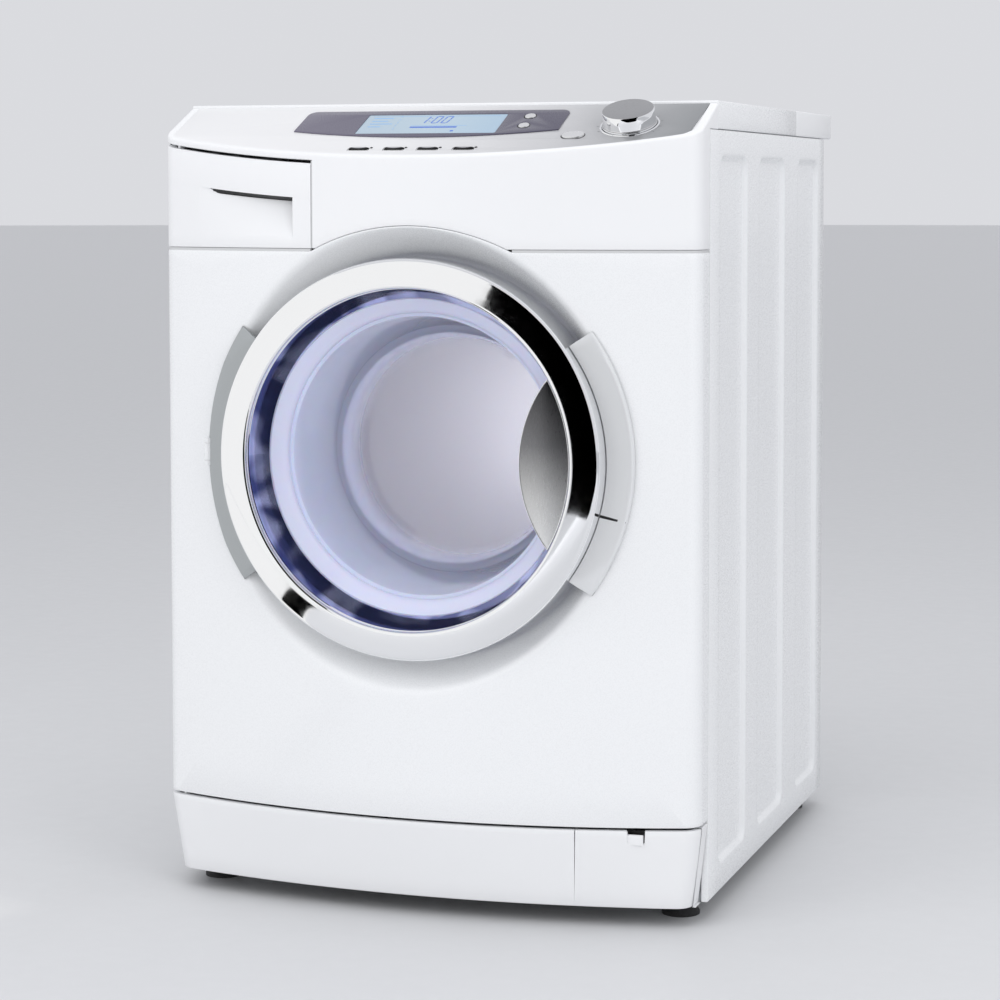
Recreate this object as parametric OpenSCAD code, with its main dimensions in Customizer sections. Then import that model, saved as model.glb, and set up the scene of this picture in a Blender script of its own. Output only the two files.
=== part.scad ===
// Front-loading laundry machine with a bowed front, a sloping control panel,
// a ring-framed glass door and a pull-out detergent drawer.
// X runs to the machine's right, Y to its back and Z up; the origin is on the
// floor, under the middle of the machine's box.

/* [Cabinet] */
// Width over the side panels
cabinet_w = 595; // [590:0.5:600]
// Height of the worktop
cabinet_h = 850; // [848:0.5:852]
// Front edge of the side panels
side_front_y = -253; // [-255:0.5:-252]
// Rear edge of the side panels
side_rear_y = 312; // [308:0.5:316]
// Height of the side panels' lower edge
skirt_z = 20; // [20:0.5:22]
// Height of the side panels' upper edge
side_top_z = 820; // [818:0.5:821]
// Thickness of the sheet steel
sheet_t = 1.2; // [1:0.1:1.5]
// Rear end of the worktop's overhang
top_rear_y = 353; // [350:0.5:356]
// Joint between the worktop and its rear trim
top_joint_y = 156; // [150:1:160]

/* [Bowed front] */
// Radius of the bow, seen from above
front_r = 920; // [900:5:940]
// Frontmost point of the bow
front_apex_y = -340.5; // [-341:0.5:-340]
// Radius of the vertical corners
corner_r = 20; // [18:1:22]
// Gap between neighbouring front parts
reveal = 2; // [1:0.5:3]
// Lower edge of the fascia band
fascia_z = 697; // [694:1:700]
// Top edge of the kick plate
kick_top_z = 103; // [100:1:106]
// Radius of the bow at the kick plate's foot
kick_foot_r = 1194; // [1150:1:1250]
// Frontmost point of the kick plate's foot
kick_foot_y = -321; // [-323:0.5:-320]
// Width of the kick plate's foot
kick_foot_w = 574; // [570:1:578]

/* [Door] */
// Height of the door's centre
door_z = 480; // [478:1:482]
// How far the ring's crest lies in front of the origin
ring_crest_h = 353; // [351:0.5:353]
// Curvature radius of the ring's broad face
ring_face_r = 90; // [70:5:120]
// Rounding radius of the ring's outer edge
ring_edge_r = 6; // [5:0.5:7]
// Rounding radius of the ring's inner lip
ring_lip_r = 3; // [2.5:0.5:3.5]
// Outer radius of the side wings
wing_r = 235; // [233:1:236]
// Half of the angle that each wing spans
wing_half_deg = 35; // [30:1:38]
// Radius of the dished opening at its rim
dish_r = 239; // [238:0.5:240]
// Depth plane of the dish's floor
dish_floor_h = 292; // [291:0.5:292]
// Radius of the porthole
porthole_r = 168; // [167:0.5:169]
// Distance of the hinge pin to the left of the door's centre
hinge_x = 236; // [236:0.5:236.5]
// Depth plane of the hinge pin
hinge_h = 316; // [316:0.1:316.5]

/* [Control panel] */
// Tilt of the control panel
slope_deg = 24.5; // [24:0.1:25]
// Height of the slope at the front apex
slope_front_z = 792; // [791:0.5:793]
// Thickness of the panel's lip
lip_t = 6.5; // [6:0.5:7]
// Radius of the programme knob's foot
knob_r = 28.5; // [27:0.5:29]
// Height of the programme knob
knob_h = 17.5; // [15:0.5:18]
// Distance of the knob from the panel's middle
knob_x = 217; // [214:1:219]

/* [Washing unit] */
// Outer radius of the tub
tub_r = 262; // [258:1:263]
// Front plane of the tub
tub_front_h = 262; // [260:1:263]
// Rear plane of the tub's wall
tub_rear_y = 96; // [94:1:98]
// Outer radius of the drum
drum_r = 244; // [240:1:246]
// Radius of the drum pulley
drum_pulley_r = 140; // [135:1:142]
// Radius of the motor pulley
motor_pulley_r = 10; // [9:0.5:11]
// Height of the motor's shaft
motor_z = 150; // [146:1:152]

/* [Feet] */
// Radius of a foot's pad
foot_r = 20; // [18:1:22]
// Height of a foot's pad
foot_h = 8; // [7:0.5:9]
// Radius of a foot's stem
foot_stem_r = 4.9; // [4.9:0.01:4.94]

/* [Hidden] */
$fn = 96;
half_w = cabinet_w / 2;
back_y = side_front_y - 2;
bow_centre_y = front_apex_y + front_r;
corner_x = half_w - corner_r;
corner_y = bow_centre_y - sqrt(pow(front_r - corner_r, 2) - pow(corner_x, 2));
slope_rear_y = -220;
plane_front_y = front_apex_y;
panel_z0 = kick_top_z + 3;
panel_z1 = fascia_z - 3;
bore_fit = 0.05;
thread_fit = 5 - foot_stem_r;
gap = 0.3;

dish_floor_r = 209;
ring_wall_r = 208;
ring_back_h = 300;
bezel_back_r = 166;
bezel_back_h = 314;
shell_t = 1.5;
wing_clear = 1.2;
wing_t = 8.5;
pin_r = 2.5;
knuckle_r = 4.5;
knuckle_half = 9;
lug_t = 5;
hook_x = 190;

drawer_x1 = -109.5;
fascia_x0 = drawer_x1 + reveal;
drawer_t = 2.5;
drawer_drop = 8.8;
pocket_x0 = -249;
pocket_x1 = -131;
pocket_z0 = 709;
pocket_drop = 42;
pocket_foot_y = -317;
pocket_turn = -6.5;
pocket_lean = 22;
drawer_top_z = 806;
tray_x0 = -286;
tray_x1 = -118;
tray_y0 = -290;
tray_y1 = -100;
tray_z0 = 735;
tray_z1 = 782;

overlay_t = 1;
overlay_half_w = 289;
overlay_v = 133;
option_xs = [-60, -21, 16, 55];
option_v = 19;
option_w = 22;
option_h = 5;
round_x = 103.5;
reset_v = 100;
delay_v = 75.5;
round_r = 6;
start_x = 163.5;
start_v = 51;
start_w = 24;
start_h = 16;
knob_v = 77;
button_gap = 0.5;
lcd_x0 = -78;
lcd_x1 = 77;
lcd_v0 = 57;
lcd_v1 = 107;

flap_x = 174;
flap_pin_y = -290;
flap_pin_z = 24;
kick_t = 2.5;
filter_x = 230;
filter_y0 = -272;
filter_z = 62;
filter_r = 24;
boss_h = 18;
drain_x = 262;
drain_r = 11;
drain_y = 315;
drain_len = 24;

shaft_r = 14.95;
bearing_r = 31;
damper_x = 150;
damper_y = -60;
damper_r = 16;
rod_r = 6;
spring_x = 235;
spring_y = -60;
spring_z0 = 632;
spring_z1 = 800;
hose_x = 215;
hose_y = -215;
hose_r = 20;
hose_z0 = 100;
hose_z1 = 300;
belt_y = 158;
belt_w = 16;
belt_t = 2;

foot_spots = [[-262, -228], [262, -228], [-262, 277], [262, 277]];
recess_spans = [[-211, -89], [-33, 94], [163, 277]];
recess_z0 = 48;
recess_z1 = 794;
recess_depth = 5;
fold_w = 7;
valve_x = -200;
valve_z = 770;
gland_x = 200;
rear_hole_r = 170;

// ---- shared outlines and placements ----

// Points along a circular arc.
function arc(cx, cy, r, a0, a1, n) =
    [for (i = [0:n]) let (a = a0 + (a1 - a0) * i / n) [cx + r * cos(a), cy + r * sin(a)]];

// A bowed front with round corners, seen from above and drawn inset by d. The bow is a true
// arc; the other outline only rounds its corners, leaves the arc at a clear angle and runs
// on in front of it.
module bow(d, rear, r = front_r, apex = front_apex_y, w = cabinet_w) {
    cy = apex + r;
    x = w / 2 - corner_r;
    y = cy - sqrt(pow(r - corner_r, 2) - x * x);
    turn = atan2(y - cy, x);
    c = max(corner_r - d, 0.5);
    side = w / 2 - d - c;
    out = r - d + 4;
    right = concat([[w / 2 - d, rear]], arc(side, y, c, 0, turn + 8, 6),
                   [[out * cos(turn - 3), cy + out * sin(turn - 3)]]);
    left = [for (i = [len(right) - 1:-1:0]) [-right[i][0], right[i][1]]];
    intersection() {
        translate([0, cy]) circle(r = r - d, $fn = 720);
        polygon(concat(right, [[0, apex - 60]], left));
    }
}

// A rectangle with round corners, centred on the origin.
function round_box(w, h, r, n = 6) =
    concat(arc(w / 2 - r, h / 2 - r, r, 0, 90, n),
           arc(-w / 2 + r, h / 2 - r, r, 90, 180, n),
           arc(-w / 2 + r, -h / 2 + r, r, 180, 270, n),
           arc(w / 2 - r, -h / 2 + r, r, 270, 360, n));

// Outline of a belt round two pulleys, the second one a distance below the first.
function belt_path(r1, r2, drop, n = 32) =
    let (lean = asin((r1 - r2) / drop))
    concat(arc(0, 0, r1, -lean, 180 + lean, n), arc(0, -drop, r2, 180 + lean, 360 - lean, 12));

module front_solid(d, z0, z1, rear = back_y)
    translate([0, 0, z0]) linear_extrude(z1 - z0) bow(d, rear);

module front_sheet(z0, z1, t, rear = back_y) difference() {
    front_solid(0, z0, z1, rear);
    front_solid(t, z0 - 1, z1 + 1, rear + 1);
}

// Places the children on the control slope: x across, y up the slope, z out of it.
module on_slope(x = 0, v = 0, lift = 0)
    translate([0, plane_front_y, slope_front_z]) rotate([slope_deg, 0, 0])
        translate([x, v, lift]) children();

// Everything above the slope plane moved out by lift.
module over_slope(lift) on_slope(-400, -150, lift) cube([800, 500, 250]);

// Turns the children's Z axis towards the front, about the door's centre.
module about_door() translate([0, 0, door_z]) rotate([90, 0, 0]) children();

module along_y(x, y, z) translate([x, y, z]) rotate([-90, 0, 0]) children();

module tub_space(grow)
    along_y(0, -tub_front_h, door_z) cylinder(r = tub_r + grow, h = tub_front_h + tub_rear_y);

// ---- cabinet ----

module recess_outline(span)
    translate([(span[0] + span[1]) / 2, (recess_z0 + recess_z1) / 2])
        polygon(round_box(span[1] - span[0], recess_z1 - recess_z0, 16));

module side_panel() {
    depth = side_rear_y - side_front_y;
    // Sheet with its three pressed recesses, drawn for the right side.
    difference() {
        translate([half_w - sheet_t, side_front_y, skirt_z])
            cube([sheet_t, depth, side_top_z - skirt_z]);
        for (span = recess_spans)
            translate([half_w - 2 * sheet_t, 0, 0]) rotate([90, 0, 90])
                linear_extrude(4 * sheet_t) recess_outline(span);
    }
    for (span = recess_spans)
        difference() {
            translate([half_w - recess_depth - sheet_t, 0, 0]) rotate([90, 0, 90])
                linear_extrude(recess_depth)
                    polygon([for (p = round_box(span[1] - span[0] + 2 * sheet_t,
                                                recess_z1 - recess_z0 + 2 * sheet_t, 17))
                             [p[0] + (span[0] + span[1]) / 2, p[1] + (recess_z0 + recess_z1) / 2]]);
            translate([half_w - recess_depth, 0, 0]) rotate([90, 0, 90])
                linear_extrude(recess_depth + 1) recess_outline(span);
        }
    // Folded edges at the front, back and top.
    for (y = [side_front_y, side_rear_y - sheet_t])
        translate([half_w - fold_w, y, skirt_z + 30]) cube([fold_w - sheet_t, sheet_t, 760]);
    translate([half_w - fold_w, side_front_y, side_top_z - sheet_t])
        cube([fold_w - sheet_t, depth, sheet_t]);
}

module side_panel_right() color("white") side_panel();
module side_panel_left() color("white") mirror([1, 0, 0]) side_panel();

module back_panel() color("gainsboro") difference() {
    translate([-290, side_rear_y, skirt_z + 4])
        cube([580, sheet_t, side_top_z - skirt_z - 8]);
    along_y(0, side_rear_y - 1, door_z - 70) cylinder(r = rear_hole_r, h = 4);
    along_y(valve_x, side_rear_y - 1, valve_z) cylinder(r = 14.5, h = 4);
    along_y(gland_x, side_rear_y - 1, valve_z) cylinder(r = 9.2, h = 4);
    along_y(drain_x, side_rear_y - 1, filter_z) cylinder(r = drain_r + 1, h = 4);
}

module rear_service_cover() color("silver") {
    y0 = side_rear_y + sheet_t;
    difference() {
        along_y(0, y0, door_z - 70) cylinder(r = rear_hole_r + 16, h = sheet_t);
        along_y(0, y0 - 1, door_z - 70) cylinder(r = rear_hole_r - 40, h = 4);
    }
    // Pressed centre that stands out for the pulley.
    along_y(0, y0, door_z - 70) rotate_extrude()
        polygon([[0, 9 - sheet_t], [rear_hole_r - 52, 9 - sheet_t], [rear_hole_r - 41, 0],
                 [rear_hole_r - 39, 0], [rear_hole_r - 39, sheet_t],
                 [rear_hole_r - 51, 9], [0, 9]]);
    // Screw heads around the rim.
    for (a = [0:60:300])
        along_y((rear_hole_r + 9) * cos(a), y0 + sheet_t, door_z - 70 + (rear_hole_r + 9) * sin(a))
            cylinder(r = 4.5, h = 2.2);
}

module base_tray() color("dimgray") difference() {
    union() {
        difference() {
            translate([-294, -250, skirt_z]) cube([588, 557, 24]);
            translate([-291, -247, skirt_z + 4]) cube([582, 551, 24]);
        }
        for (p = foot_spots) translate([p[0], p[1], skirt_z + 3]) cylinder(r = 13, h = boss_h);
    }
    // Way through the front wall for the drain filter.
    along_y(filter_x, -260, filter_z) cylinder(r = filter_r + 5.5, h = 40);
    for (p = foot_spots)
        translate([p[0], p[1], skirt_z - 1]) cylinder(r = foot_stem_r + thread_fit, h = 60);
}

module worktop(y0, y1, close_rear) {
    skirt = 3;
    difference() {
        translate([-half_w, y0, side_top_z + gap]) cube([cabinet_w, y1 - y0, cabinet_h - side_top_z - gap]);
        translate([-half_w + skirt, y0 - 1, side_top_z - 1])
            cube([cabinet_w - 2 * skirt, y1 - y0 + (close_rear ? 1 - skirt : 2),
                  cabinet_h - side_top_z - skirt + 1]);
    }
}

module top_panel() color("white") worktop(slope_rear_y + 0.5, top_joint_y, false);
module top_rear_trim() color("white") worktop(top_joint_y + 0.5, top_rear_y, true);

module dish_lining(t) about_door() rotate_extrude()
    polygon([[porthole_r, 277], [porthole_r + t, 277], [porthole_r + t, dish_floor_h - t],
             [dish_floor_r + t / 2, dish_floor_h - t], [dish_r + 1.3 * t, -front_apex_y],
             [dish_r, -front_apex_y], [dish_floor_r, dish_floor_h], [porthole_r, dish_floor_h]]);

module front_panel() color("white") difference() {
    union() {
        difference() {
            front_sheet(panel_z0, panel_z1, sheet_t);
            about_door() rotate_extrude()
                polygon([[0, 240], [dish_floor_r, 240], [dish_floor_r, dish_floor_h],
                         [dish_r, -front_apex_y], [dish_r + 12, 360], [0, 360]]);
        }
        intersection() {
            dish_lining(sheet_t);
            front_solid(0, panel_z0, door_z + dish_r + 2);
        }
    }
    // Slot for the latch hook.
    about_door() translate([hook_x - 7, -11, 270]) cube([17, 22, 40]);
}

// Slab between two planes parallel to the control slope.
module slope_slab(low, high) on_slope(-400, -150, low) cube([800, 500, high - low]);

module control_fascia() color("white") difference() {
    union() {
        // Bowed band, right of the drawer.
        difference() {
            front_sheet(fascia_z, 850, 2 * drawer_t);
            over_slope(-lip_t / 2);
            translate([-half_w - 1, -400, fascia_z - 1]) cube([fascia_x0 + half_w + 1, 400, 300]);
        }
        // Short fixed return beside the drawer.
        difference() {
            translate([-half_w, corner_y + 2, fascia_z]) cube([drawer_t, -corner_y + back_y - 2, 160]);
            over_slope(-lip_t / 2);
        }
        // Sloping plate and the two side cheeks behind it.
        intersection() {
            front_solid(0, 760, 860, slope_rear_y);
            slope_slab(-lip_t, 0);
        }
        for (x = [-half_w, half_w - 3])
            difference() {
                translate([x, back_y - 4, side_top_z + gap]) cube([3, slope_rear_y - back_y + 4, 40]);
                over_slope(-1);
            }
    }
    // Bed of the overlay.
    on_slope(0, 0, -overlay_t) linear_extrude(20) overlay_outline(0);
    panel_cutouts(button_gap, -30);
    // Eyebrow over the door's dish.
    about_door() translate([0, 0, 200]) cylinder(r = dish_r + reveal, h = 200);
}

// Shape of the silver overlay in the slope's own plane. The slope cuts the bow in a flatter
// curve, close to an arc of the bow's radius times the cosine of the tilt.
module overlay_outline(d) {
    edge_r = front_r * cos(slope_deg);
    intersection() {
        translate([-overlay_half_w + d, -90]) square([2 * (overlay_half_w - d), overlay_v + 90 - d]);
        translate([0, edge_r]) circle(r = edge_r - 4 - d, $fn = 720);
    }
}

// Openings for the buttons, the display and the knob's shaft.
module panel_cutouts(play, depth) {
    for (x = option_xs)
        on_slope(x, option_v, depth) linear_extrude(60)
            polygon(round_box(option_w + 2 * play, option_h + 2 * play, option_h / 2 + play - 0.01));
    for (v = [reset_v, delay_v])
        on_slope(round_x, v, depth) cylinder(r = round_r + play, h = 60);
    on_slope(start_x, start_v, depth) linear_extrude(60)
        polygon(round_box(start_w + 2 * play, start_h + 2 * play, start_h / 2 + play - 0.01));
    on_slope((lcd_x0 + lcd_x1) / 2, (lcd_v0 + lcd_v1) / 2, depth) linear_extrude(60)
        polygon(round_box(lcd_x1 - lcd_x0 + 0.4, lcd_v1 - lcd_v0 + 0.4, 2));
    on_slope(knob_x, knob_v, depth) cylinder(r = 3 + bore_fit, h = 60);
}

module control_overlay() color("silver") difference() {
    on_slope(0, 0, -overlay_t) linear_extrude(overlay_t) overlay_outline(0.1);
    panel_cutouts(button_gap, -20);
}

module display_bezel() color("#4a4560") difference() {
    on_slope(0, 0, 0) linear_extrude(1.2) intersection() {
        translate([-3, 82.5]) polygon(round_box(294, 69, 10));
        translate([-3, 48 + 647]) circle(r = 647, $fn = 360);
    }
    panel_cutouts(button_gap, -5);
}

module lcd_screen() color("lightskyblue")
    on_slope((lcd_x0 + lcd_x1) / 2, (lcd_v0 + lcd_v1) / 2, -10) linear_extrude(10.8)
        polygon(round_box(lcd_x1 - lcd_x0, lcd_v1 - lcd_v0, 2));

module control_board() color("darkgreen") {
    on_slope(-104, 12, -17) cube([204, 104, 1.6]);
    on_slope(99, 40, -17) cube([81, 76, 1.6]);
    // Switches under the buttons and the knob's encoder.
    for (x = option_xs) on_slope(x - 3, option_v - 3, -15.4) cube([6, 6, 3]);
    on_slope(start_x - 3, start_v - 3, -15.4) cube([6, 6, 3]);
    on_slope(-70, 60, -15.4) cube([140, 44, 4]);
}

module dispenser_housing() color("whitesmoke") difference() {
    translate([tray_x0 - 4, tray_y0 + 4, tray_z0 - 4])
        cube([tray_x1 - tray_x0 + 8, tray_y1 - tray_y0 + 10, tray_z1 - tray_z0 + 8]);
    translate([tray_x0 - 2, tray_y0, tray_z0 - 2])
        cube([tray_x1 - tray_x0 + 4, tray_y1 - tray_y0 + 12, tray_z1 - tray_z0 + 4]);
}

module kick_shape(d, rear) hull() {
    translate([0, 0, skirt_z - (d > 0 ? 1 : 0)]) linear_extrude(0.1)
        bow(d, rear, kick_foot_r, kick_foot_y, kick_foot_w);
    translate([0, 0, kick_top_z - (d > 0 ? -1 : 0.1)]) linear_extrude(0.1) bow(d, rear);
}

module kick_shell() difference() {
    kick_shape(0, back_y);
    kick_shape(kick_t, back_y + 2);
}

module flap_zone(d)
    translate([flap_x + d, -400, skirt_z - 5])
        cube([200, 400 + corner_y - d, kick_top_z - skirt_z + 10]);

module kick_plate() color("white") {
    difference() {
        kick_shell();
        flap_zone(0);
    }
    // Pin that the filter flap swings on.
    along_flap() translate([0, 0, -2]) cylinder(r = 2, h = 108);
    translate([flap_x - 12, flap_pin_y - 3, flap_pin_z - 3]) cube([12, 6, 6]);
    difference() {
        translate([flap_x - 12, flap_pin_y - 40, flap_pin_z - 3]) cube([12, 40, 4]);
        kick_outside();
    }
}

module filter_flap() color("white") {
    difference() {
        intersection() {
            kick_shell();
            flap_zone(1.2);
        }
        translate([flap_x + 50, -400, kick_top_z - 13]) cube([21, 200, 20]);
        along_flap() cylinder(r = 4.2, h = 400);
    }
    // Hinge barrel along the flap's foot.
    difference() {
        along_flap() translate([0, 0, 12]) cylinder(r = 3.6, h = 88);
        along_flap() cylinder(r = 2 + bore_fit, h = 400);
    }
    difference() {
        translate([flap_x + 14, flap_pin_y - 24, flap_pin_z - 3.4]) cube([84, 22, 2]);
        kick_outside();
    }
    // Pull tab in the notch.
    translate([flap_x + 52, -308.4, kick_top_z - 15]) cube([17, 2.6, 11]);
}

module along_flap() translate([flap_x, flap_pin_y, flap_pin_z]) rotate([0, 90, 0]) children();

// Block in front of the kick plate's inner face.
module kick_outside() difference() {
    translate([flap_x - 20, -420, skirt_z - 5]) cube([160, 160, 20]);
    kick_shape(kick_t - 0.5, back_y + 2);
}

module door_hinge_base() color("gray") {
    // Fixed pin and its two lugs on the panel's face.
    translate([-hinge_x, -hinge_h, door_z - knuckle_half - lug_t - 1])
        cylinder(r = pin_r, h = 2 * (knuckle_half + lug_t + 1));
    for (z = [door_z - knuckle_half - lug_t - 0.4, door_z + knuckle_half + 0.4])
        difference() {
            union() {
                translate([-hinge_x, -hinge_h, z]) cylinder(r = knuckle_r, h = lug_t);
                translate([-hinge_x - 2.2, -hinge_h, z]) cube([4.4, 7, lug_t]);
            }
            front_solid(-0.02, z - 1, z + lug_t + 1);
        }
    // Stiffening plate behind the panel.
    difference() {
        translate([-258, -309, door_z - 60]) cube([28, 8, 120]);
        difference() {
            translate([-300, -350, door_z - 70]) cube([100, 80, 140]);
            front_solid(sheet_t + gap, door_z - 80, door_z + 80);
        }
        about_door() rotate_extrude() polygon([[0, 280], [226, 280], [232, 360], [0, 360]]);
    }
}

module door_lock() color("dimgray") difference() {
    about_door() translate([hook_x - 9.5, -28, 264]) cube([29.5, 56, dish_floor_h - sheet_t - 264]);
    about_door() translate([hook_x - 7.5, -13, 267]) cube([19.5, 26, 40]);
}

module door_seal() color("lavender") about_door() rotate_extrude()
    polygon([[157, 290], [167.7, 290], [167.7, 274], [172, 274], [172, 270], [176, 270],
             [176, 260.5], [172, 258], [168, 262], [168, 270], [160, 270], [157, 276]]);

module drain_pump() color("slategray") difference() {
    union() {
        along_y(filter_x, filter_y0 + 12, filter_z) cylinder(r = filter_r + 5, h = 95);
        along_y(filter_x, -165, filter_z) cylinder(r = 24, h = 60);
        translate([hose_x, hose_y, filter_z]) cylinder(r = hose_r - 4, h = 62);
        along_y(drain_x, -190, filter_z) cylinder(r = drain_r - 1.2, h = drain_y + 190.5);
        along_y(drain_x, drain_y, filter_z) cylinder(r = drain_r, h = drain_len);
    }
    along_y(filter_x, filter_y0, filter_z) cylinder(r = filter_r + 0.1, h = 80);
    along_y(drain_x, -150, filter_z) cylinder(r = drain_r - 3, h = 500);
}

module sump_hose() color("black") difference() {
    union() {
        translate([hose_x, hose_y, hose_z0]) cylinder(r = hose_r, h = hose_z1 - hose_z0);
        for (z = [hose_z0 + 30:14:hose_z1 - 30])
            translate([hose_x, hose_y, z]) cylinder(r = hose_r + 3, h = 6);
    }
    translate([hose_x, hose_y, hose_z0 - 1]) cylinder(r = hose_r - 3.5, h = 400);
}

module inlet_valve() color("white") {
    translate([valve_x - 22, side_rear_y - 60, valve_z - 18]) cube([44, 58, 36]);
    difference() {
        along_y(valve_x, side_rear_y - 3, valve_z) cylinder(r = 13.2, h = 29);
        along_y(valve_x, side_rear_y + 4, valve_z) cylinder(r = 10, h = 29);
    }
    along_y(valve_x, side_rear_y - 100, valve_z) cylinder(r = 8, h = 41);
}

module power_inlet() color("black") difference() {
    union() {
        along_y(gland_x, side_rear_y - 6, valve_z) cylinder(r = 9, h = 12);
        along_y(gland_x, side_rear_y + sheet_t, valve_z) cylinder(r = 13, h = 3);
        along_y(gland_x, side_rear_y + 4, valve_z) cylinder(r = 8, h = 14);
        translate([gland_x - 20, side_rear_y - 56, valve_z - 16]) cube([40, 50, 32]);
    }
    along_y(gland_x, side_rear_y - 6, valve_z) cylinder(r = 4.5, h = 30);
}

module damper_bodies() color("dimgray") for (x = [-damper_x, damper_x])
    difference() {
        union() {
            translate([x, damper_y, skirt_z + 4]) cylinder(r = 20, h = 8);
            translate([x, damper_y, skirt_z + 4]) cylinder(r = damper_r, h = 130);
        }
        translate([x, damper_y, skirt_z + 20]) cylinder(r = rod_r + bore_fit, h = 200);
    }

// One turn point of a coil and the ring of wire around it.
function coil_point(a, r, pitch) = [r * cos(a), r * sin(a), pitch * a / 360];

module coil(r, wire, turns, pitch) {
    steps = 12;
    sides = 6;
    count = turns * steps;
    points = [for (i = [0:count], j = [0:sides - 1])
        let (a = 360 * i / steps, b = 360 * j / sides, c = coil_point(a, r, pitch))
        [c[0] + wire * cos(b) * cos(a), c[1] + wire * cos(b) * sin(a), c[2] + wire * sin(b)]];
    walls = [for (i = [0:count - 1], j = [0:sides - 1])
        let (k = (j + 1) % sides)
        [i * sides + j, i * sides + k, (i + 1) * sides + k, (i + 1) * sides + j]];
    ends = [[for (j = [sides - 1:-1:0]) j], [for (j = [0:sides - 1]) count * sides + j]];
    polyhedron(points, concat(walls, ends));
}

module suspension_springs() color("silver") for (x = [-spring_x, spring_x])
    translate([x, spring_y, spring_z0]) coil(14, 2, 8, (spring_z1 - spring_z0) / 8);

module foot(spot) color("black") {
    translate([spot[0], spot[1], 0]) rotate_extrude()
        polygon([[0, 0], [foot_r, 0], [foot_r, 3], [foot_r - 3, foot_h], [0, foot_h]]);
    translate([spot[0], spot[1], foot_h - 0.5]) cylinder(r = foot_stem_r, h = 40);
}

module foot_front_left() foot(foot_spots[0]);
module foot_front_right() foot(foot_spots[1]);
module foot_rear_left() foot(foot_spots[2]);
module foot_rear_right() foot(foot_spots[3]);

// ---- door ----

module door_chrome_ring() color("silver") union() {
    lip_x = 177 + ring_lip_r;
    edge_x = ring_wall_r - ring_edge_r;
    lean = asin((edge_x - lip_x) / (ring_face_r - ring_edge_r));
    face_h = ring_crest_h - ring_face_r;
    edge_h = face_h + (ring_face_r - ring_edge_r) * cos(lean);
    lip_h = ring_crest_h - ring_lip_r;
    about_door() rotate_extrude($fn = 180) polygon(concat(
        [[ring_wall_r, ring_back_h]],
        arc(edge_x, edge_h, ring_edge_r, 0, 90 - lean - 2, 8),
        arc(lip_x, face_h, ring_face_r, 90 - lean, 90, 8),
        arc(lip_x, lip_h, ring_lip_r, 100, 180, 6),
        [[177, 345], [bezel_back_r, bezel_back_h], [bezel_back_r + shell_t, bezel_back_h - 1],
         [177 + shell_t, 344.6]],
        arc(lip_x, lip_h, ring_lip_r - shell_t, 180, 100, 6),
        arc(lip_x, face_h, ring_face_r - shell_t, 90, 90 - lean, 8),
        arc(edge_x, edge_h, ring_edge_r - shell_t, 90 - lean - 2, 0, 8),
        [[ring_wall_r - shell_t, ring_back_h]]));
}

module door_side_wings() color("lightgray") difference() {
    intersection() {
        about_door() for (a = [-wing_half_deg, 180 - wing_half_deg])
            rotate([0, 0, a]) rotate_extrude(angle = 2 * wing_half_deg)
                polygon([[ring_wall_r + 0.2, 300], [wing_r, 300], [wing_r, 323.5],
                         [ring_wall_r + 0.2, 335]]);
        front_solid(-wing_t, door_z - 150, door_z + 150);
    }
    front_solid(-wing_clear, door_z - 160, door_z + 160);
    // Room for the hinge's barrel and arm.
    translate([-hinge_x, -hinge_h, door_z - knuckle_half - lug_t - 2])
        cylinder(r = 7.4, h = 2 * (knuckle_half + lug_t + 2));
    translate([-hinge_x, -hinge_h - 0.2, door_z - knuckle_half - 0.3])
        cube([40, 20, 2 * knuckle_half + 0.6]);
}

module door_frame() color("lavender") difference() {
    about_door() rotate_extrude($fn = 180)
        polygon([[150, 296.2], [205.5, 296.2], [205.5, 332], [182, 332], [168, 311.5],
                 [150, 301]]);
    // Pocket of the latch hook.
    about_door() translate([hook_x - 7, -11, 290]) cube([14, 22, 20]);
}

module door_glass() color("lightgray", 0.6) about_door() rotate_extrude($fn = 180)
    polygon(concat(
        [[166, 293], [166, 296], [146, 296], [142, 250]],
        arc(104, 206, 27, 0, -90, 8),
        [[0, 177], [0, 173]],
        arc(104, 204, 31, -90, 0, 8),
        [[146, 250], [149.5, 293]]));

module door_grip_plate() color("silver") about_door() intersection() {
    translate([0, 0, 340.5]) cylinder(r = 174.8, h = 3, $fn = 180);
    translate([261, 0, 340.5]) cylinder(r = 140, h = 3, $fn = 180);
}

module door_hinge_arm() color("gray") {
    z0 = door_z - knuckle_half;
    difference() {
        union() {
            translate([-hinge_x, -hinge_h, z0]) cylinder(r = knuckle_r, h = 2 * knuckle_half);
            translate([-hinge_x, -hinge_h, z0])
                cube([hinge_x - ring_wall_r - 1.6, 3.4, 2 * knuckle_half]);
            translate([-ring_wall_r - 5, -hinge_h, z0]) cube([3.6, 13, 2 * knuckle_half]);
        }
        translate([-hinge_x, -hinge_h, z0 - 1]) cylinder(r = pin_r + bore_fit, h = 60);
        front_solid(-0.5, z0 - 1, z0 + 60);
    }
}

module door_latch_hook() color("silver") {
    about_door() translate([hook_x - 4, -7, 277]) cube([3, 14, 27]);
    about_door() translate([hook_x - 4, -7, 277]) cube([7, 14, 3]);
    about_door() translate([hook_x - 2.5, -9.5, 303]) rotate([-90, 0, 0]) cylinder(r = 2.5, h = 19);
}

// ---- controls ----

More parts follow.
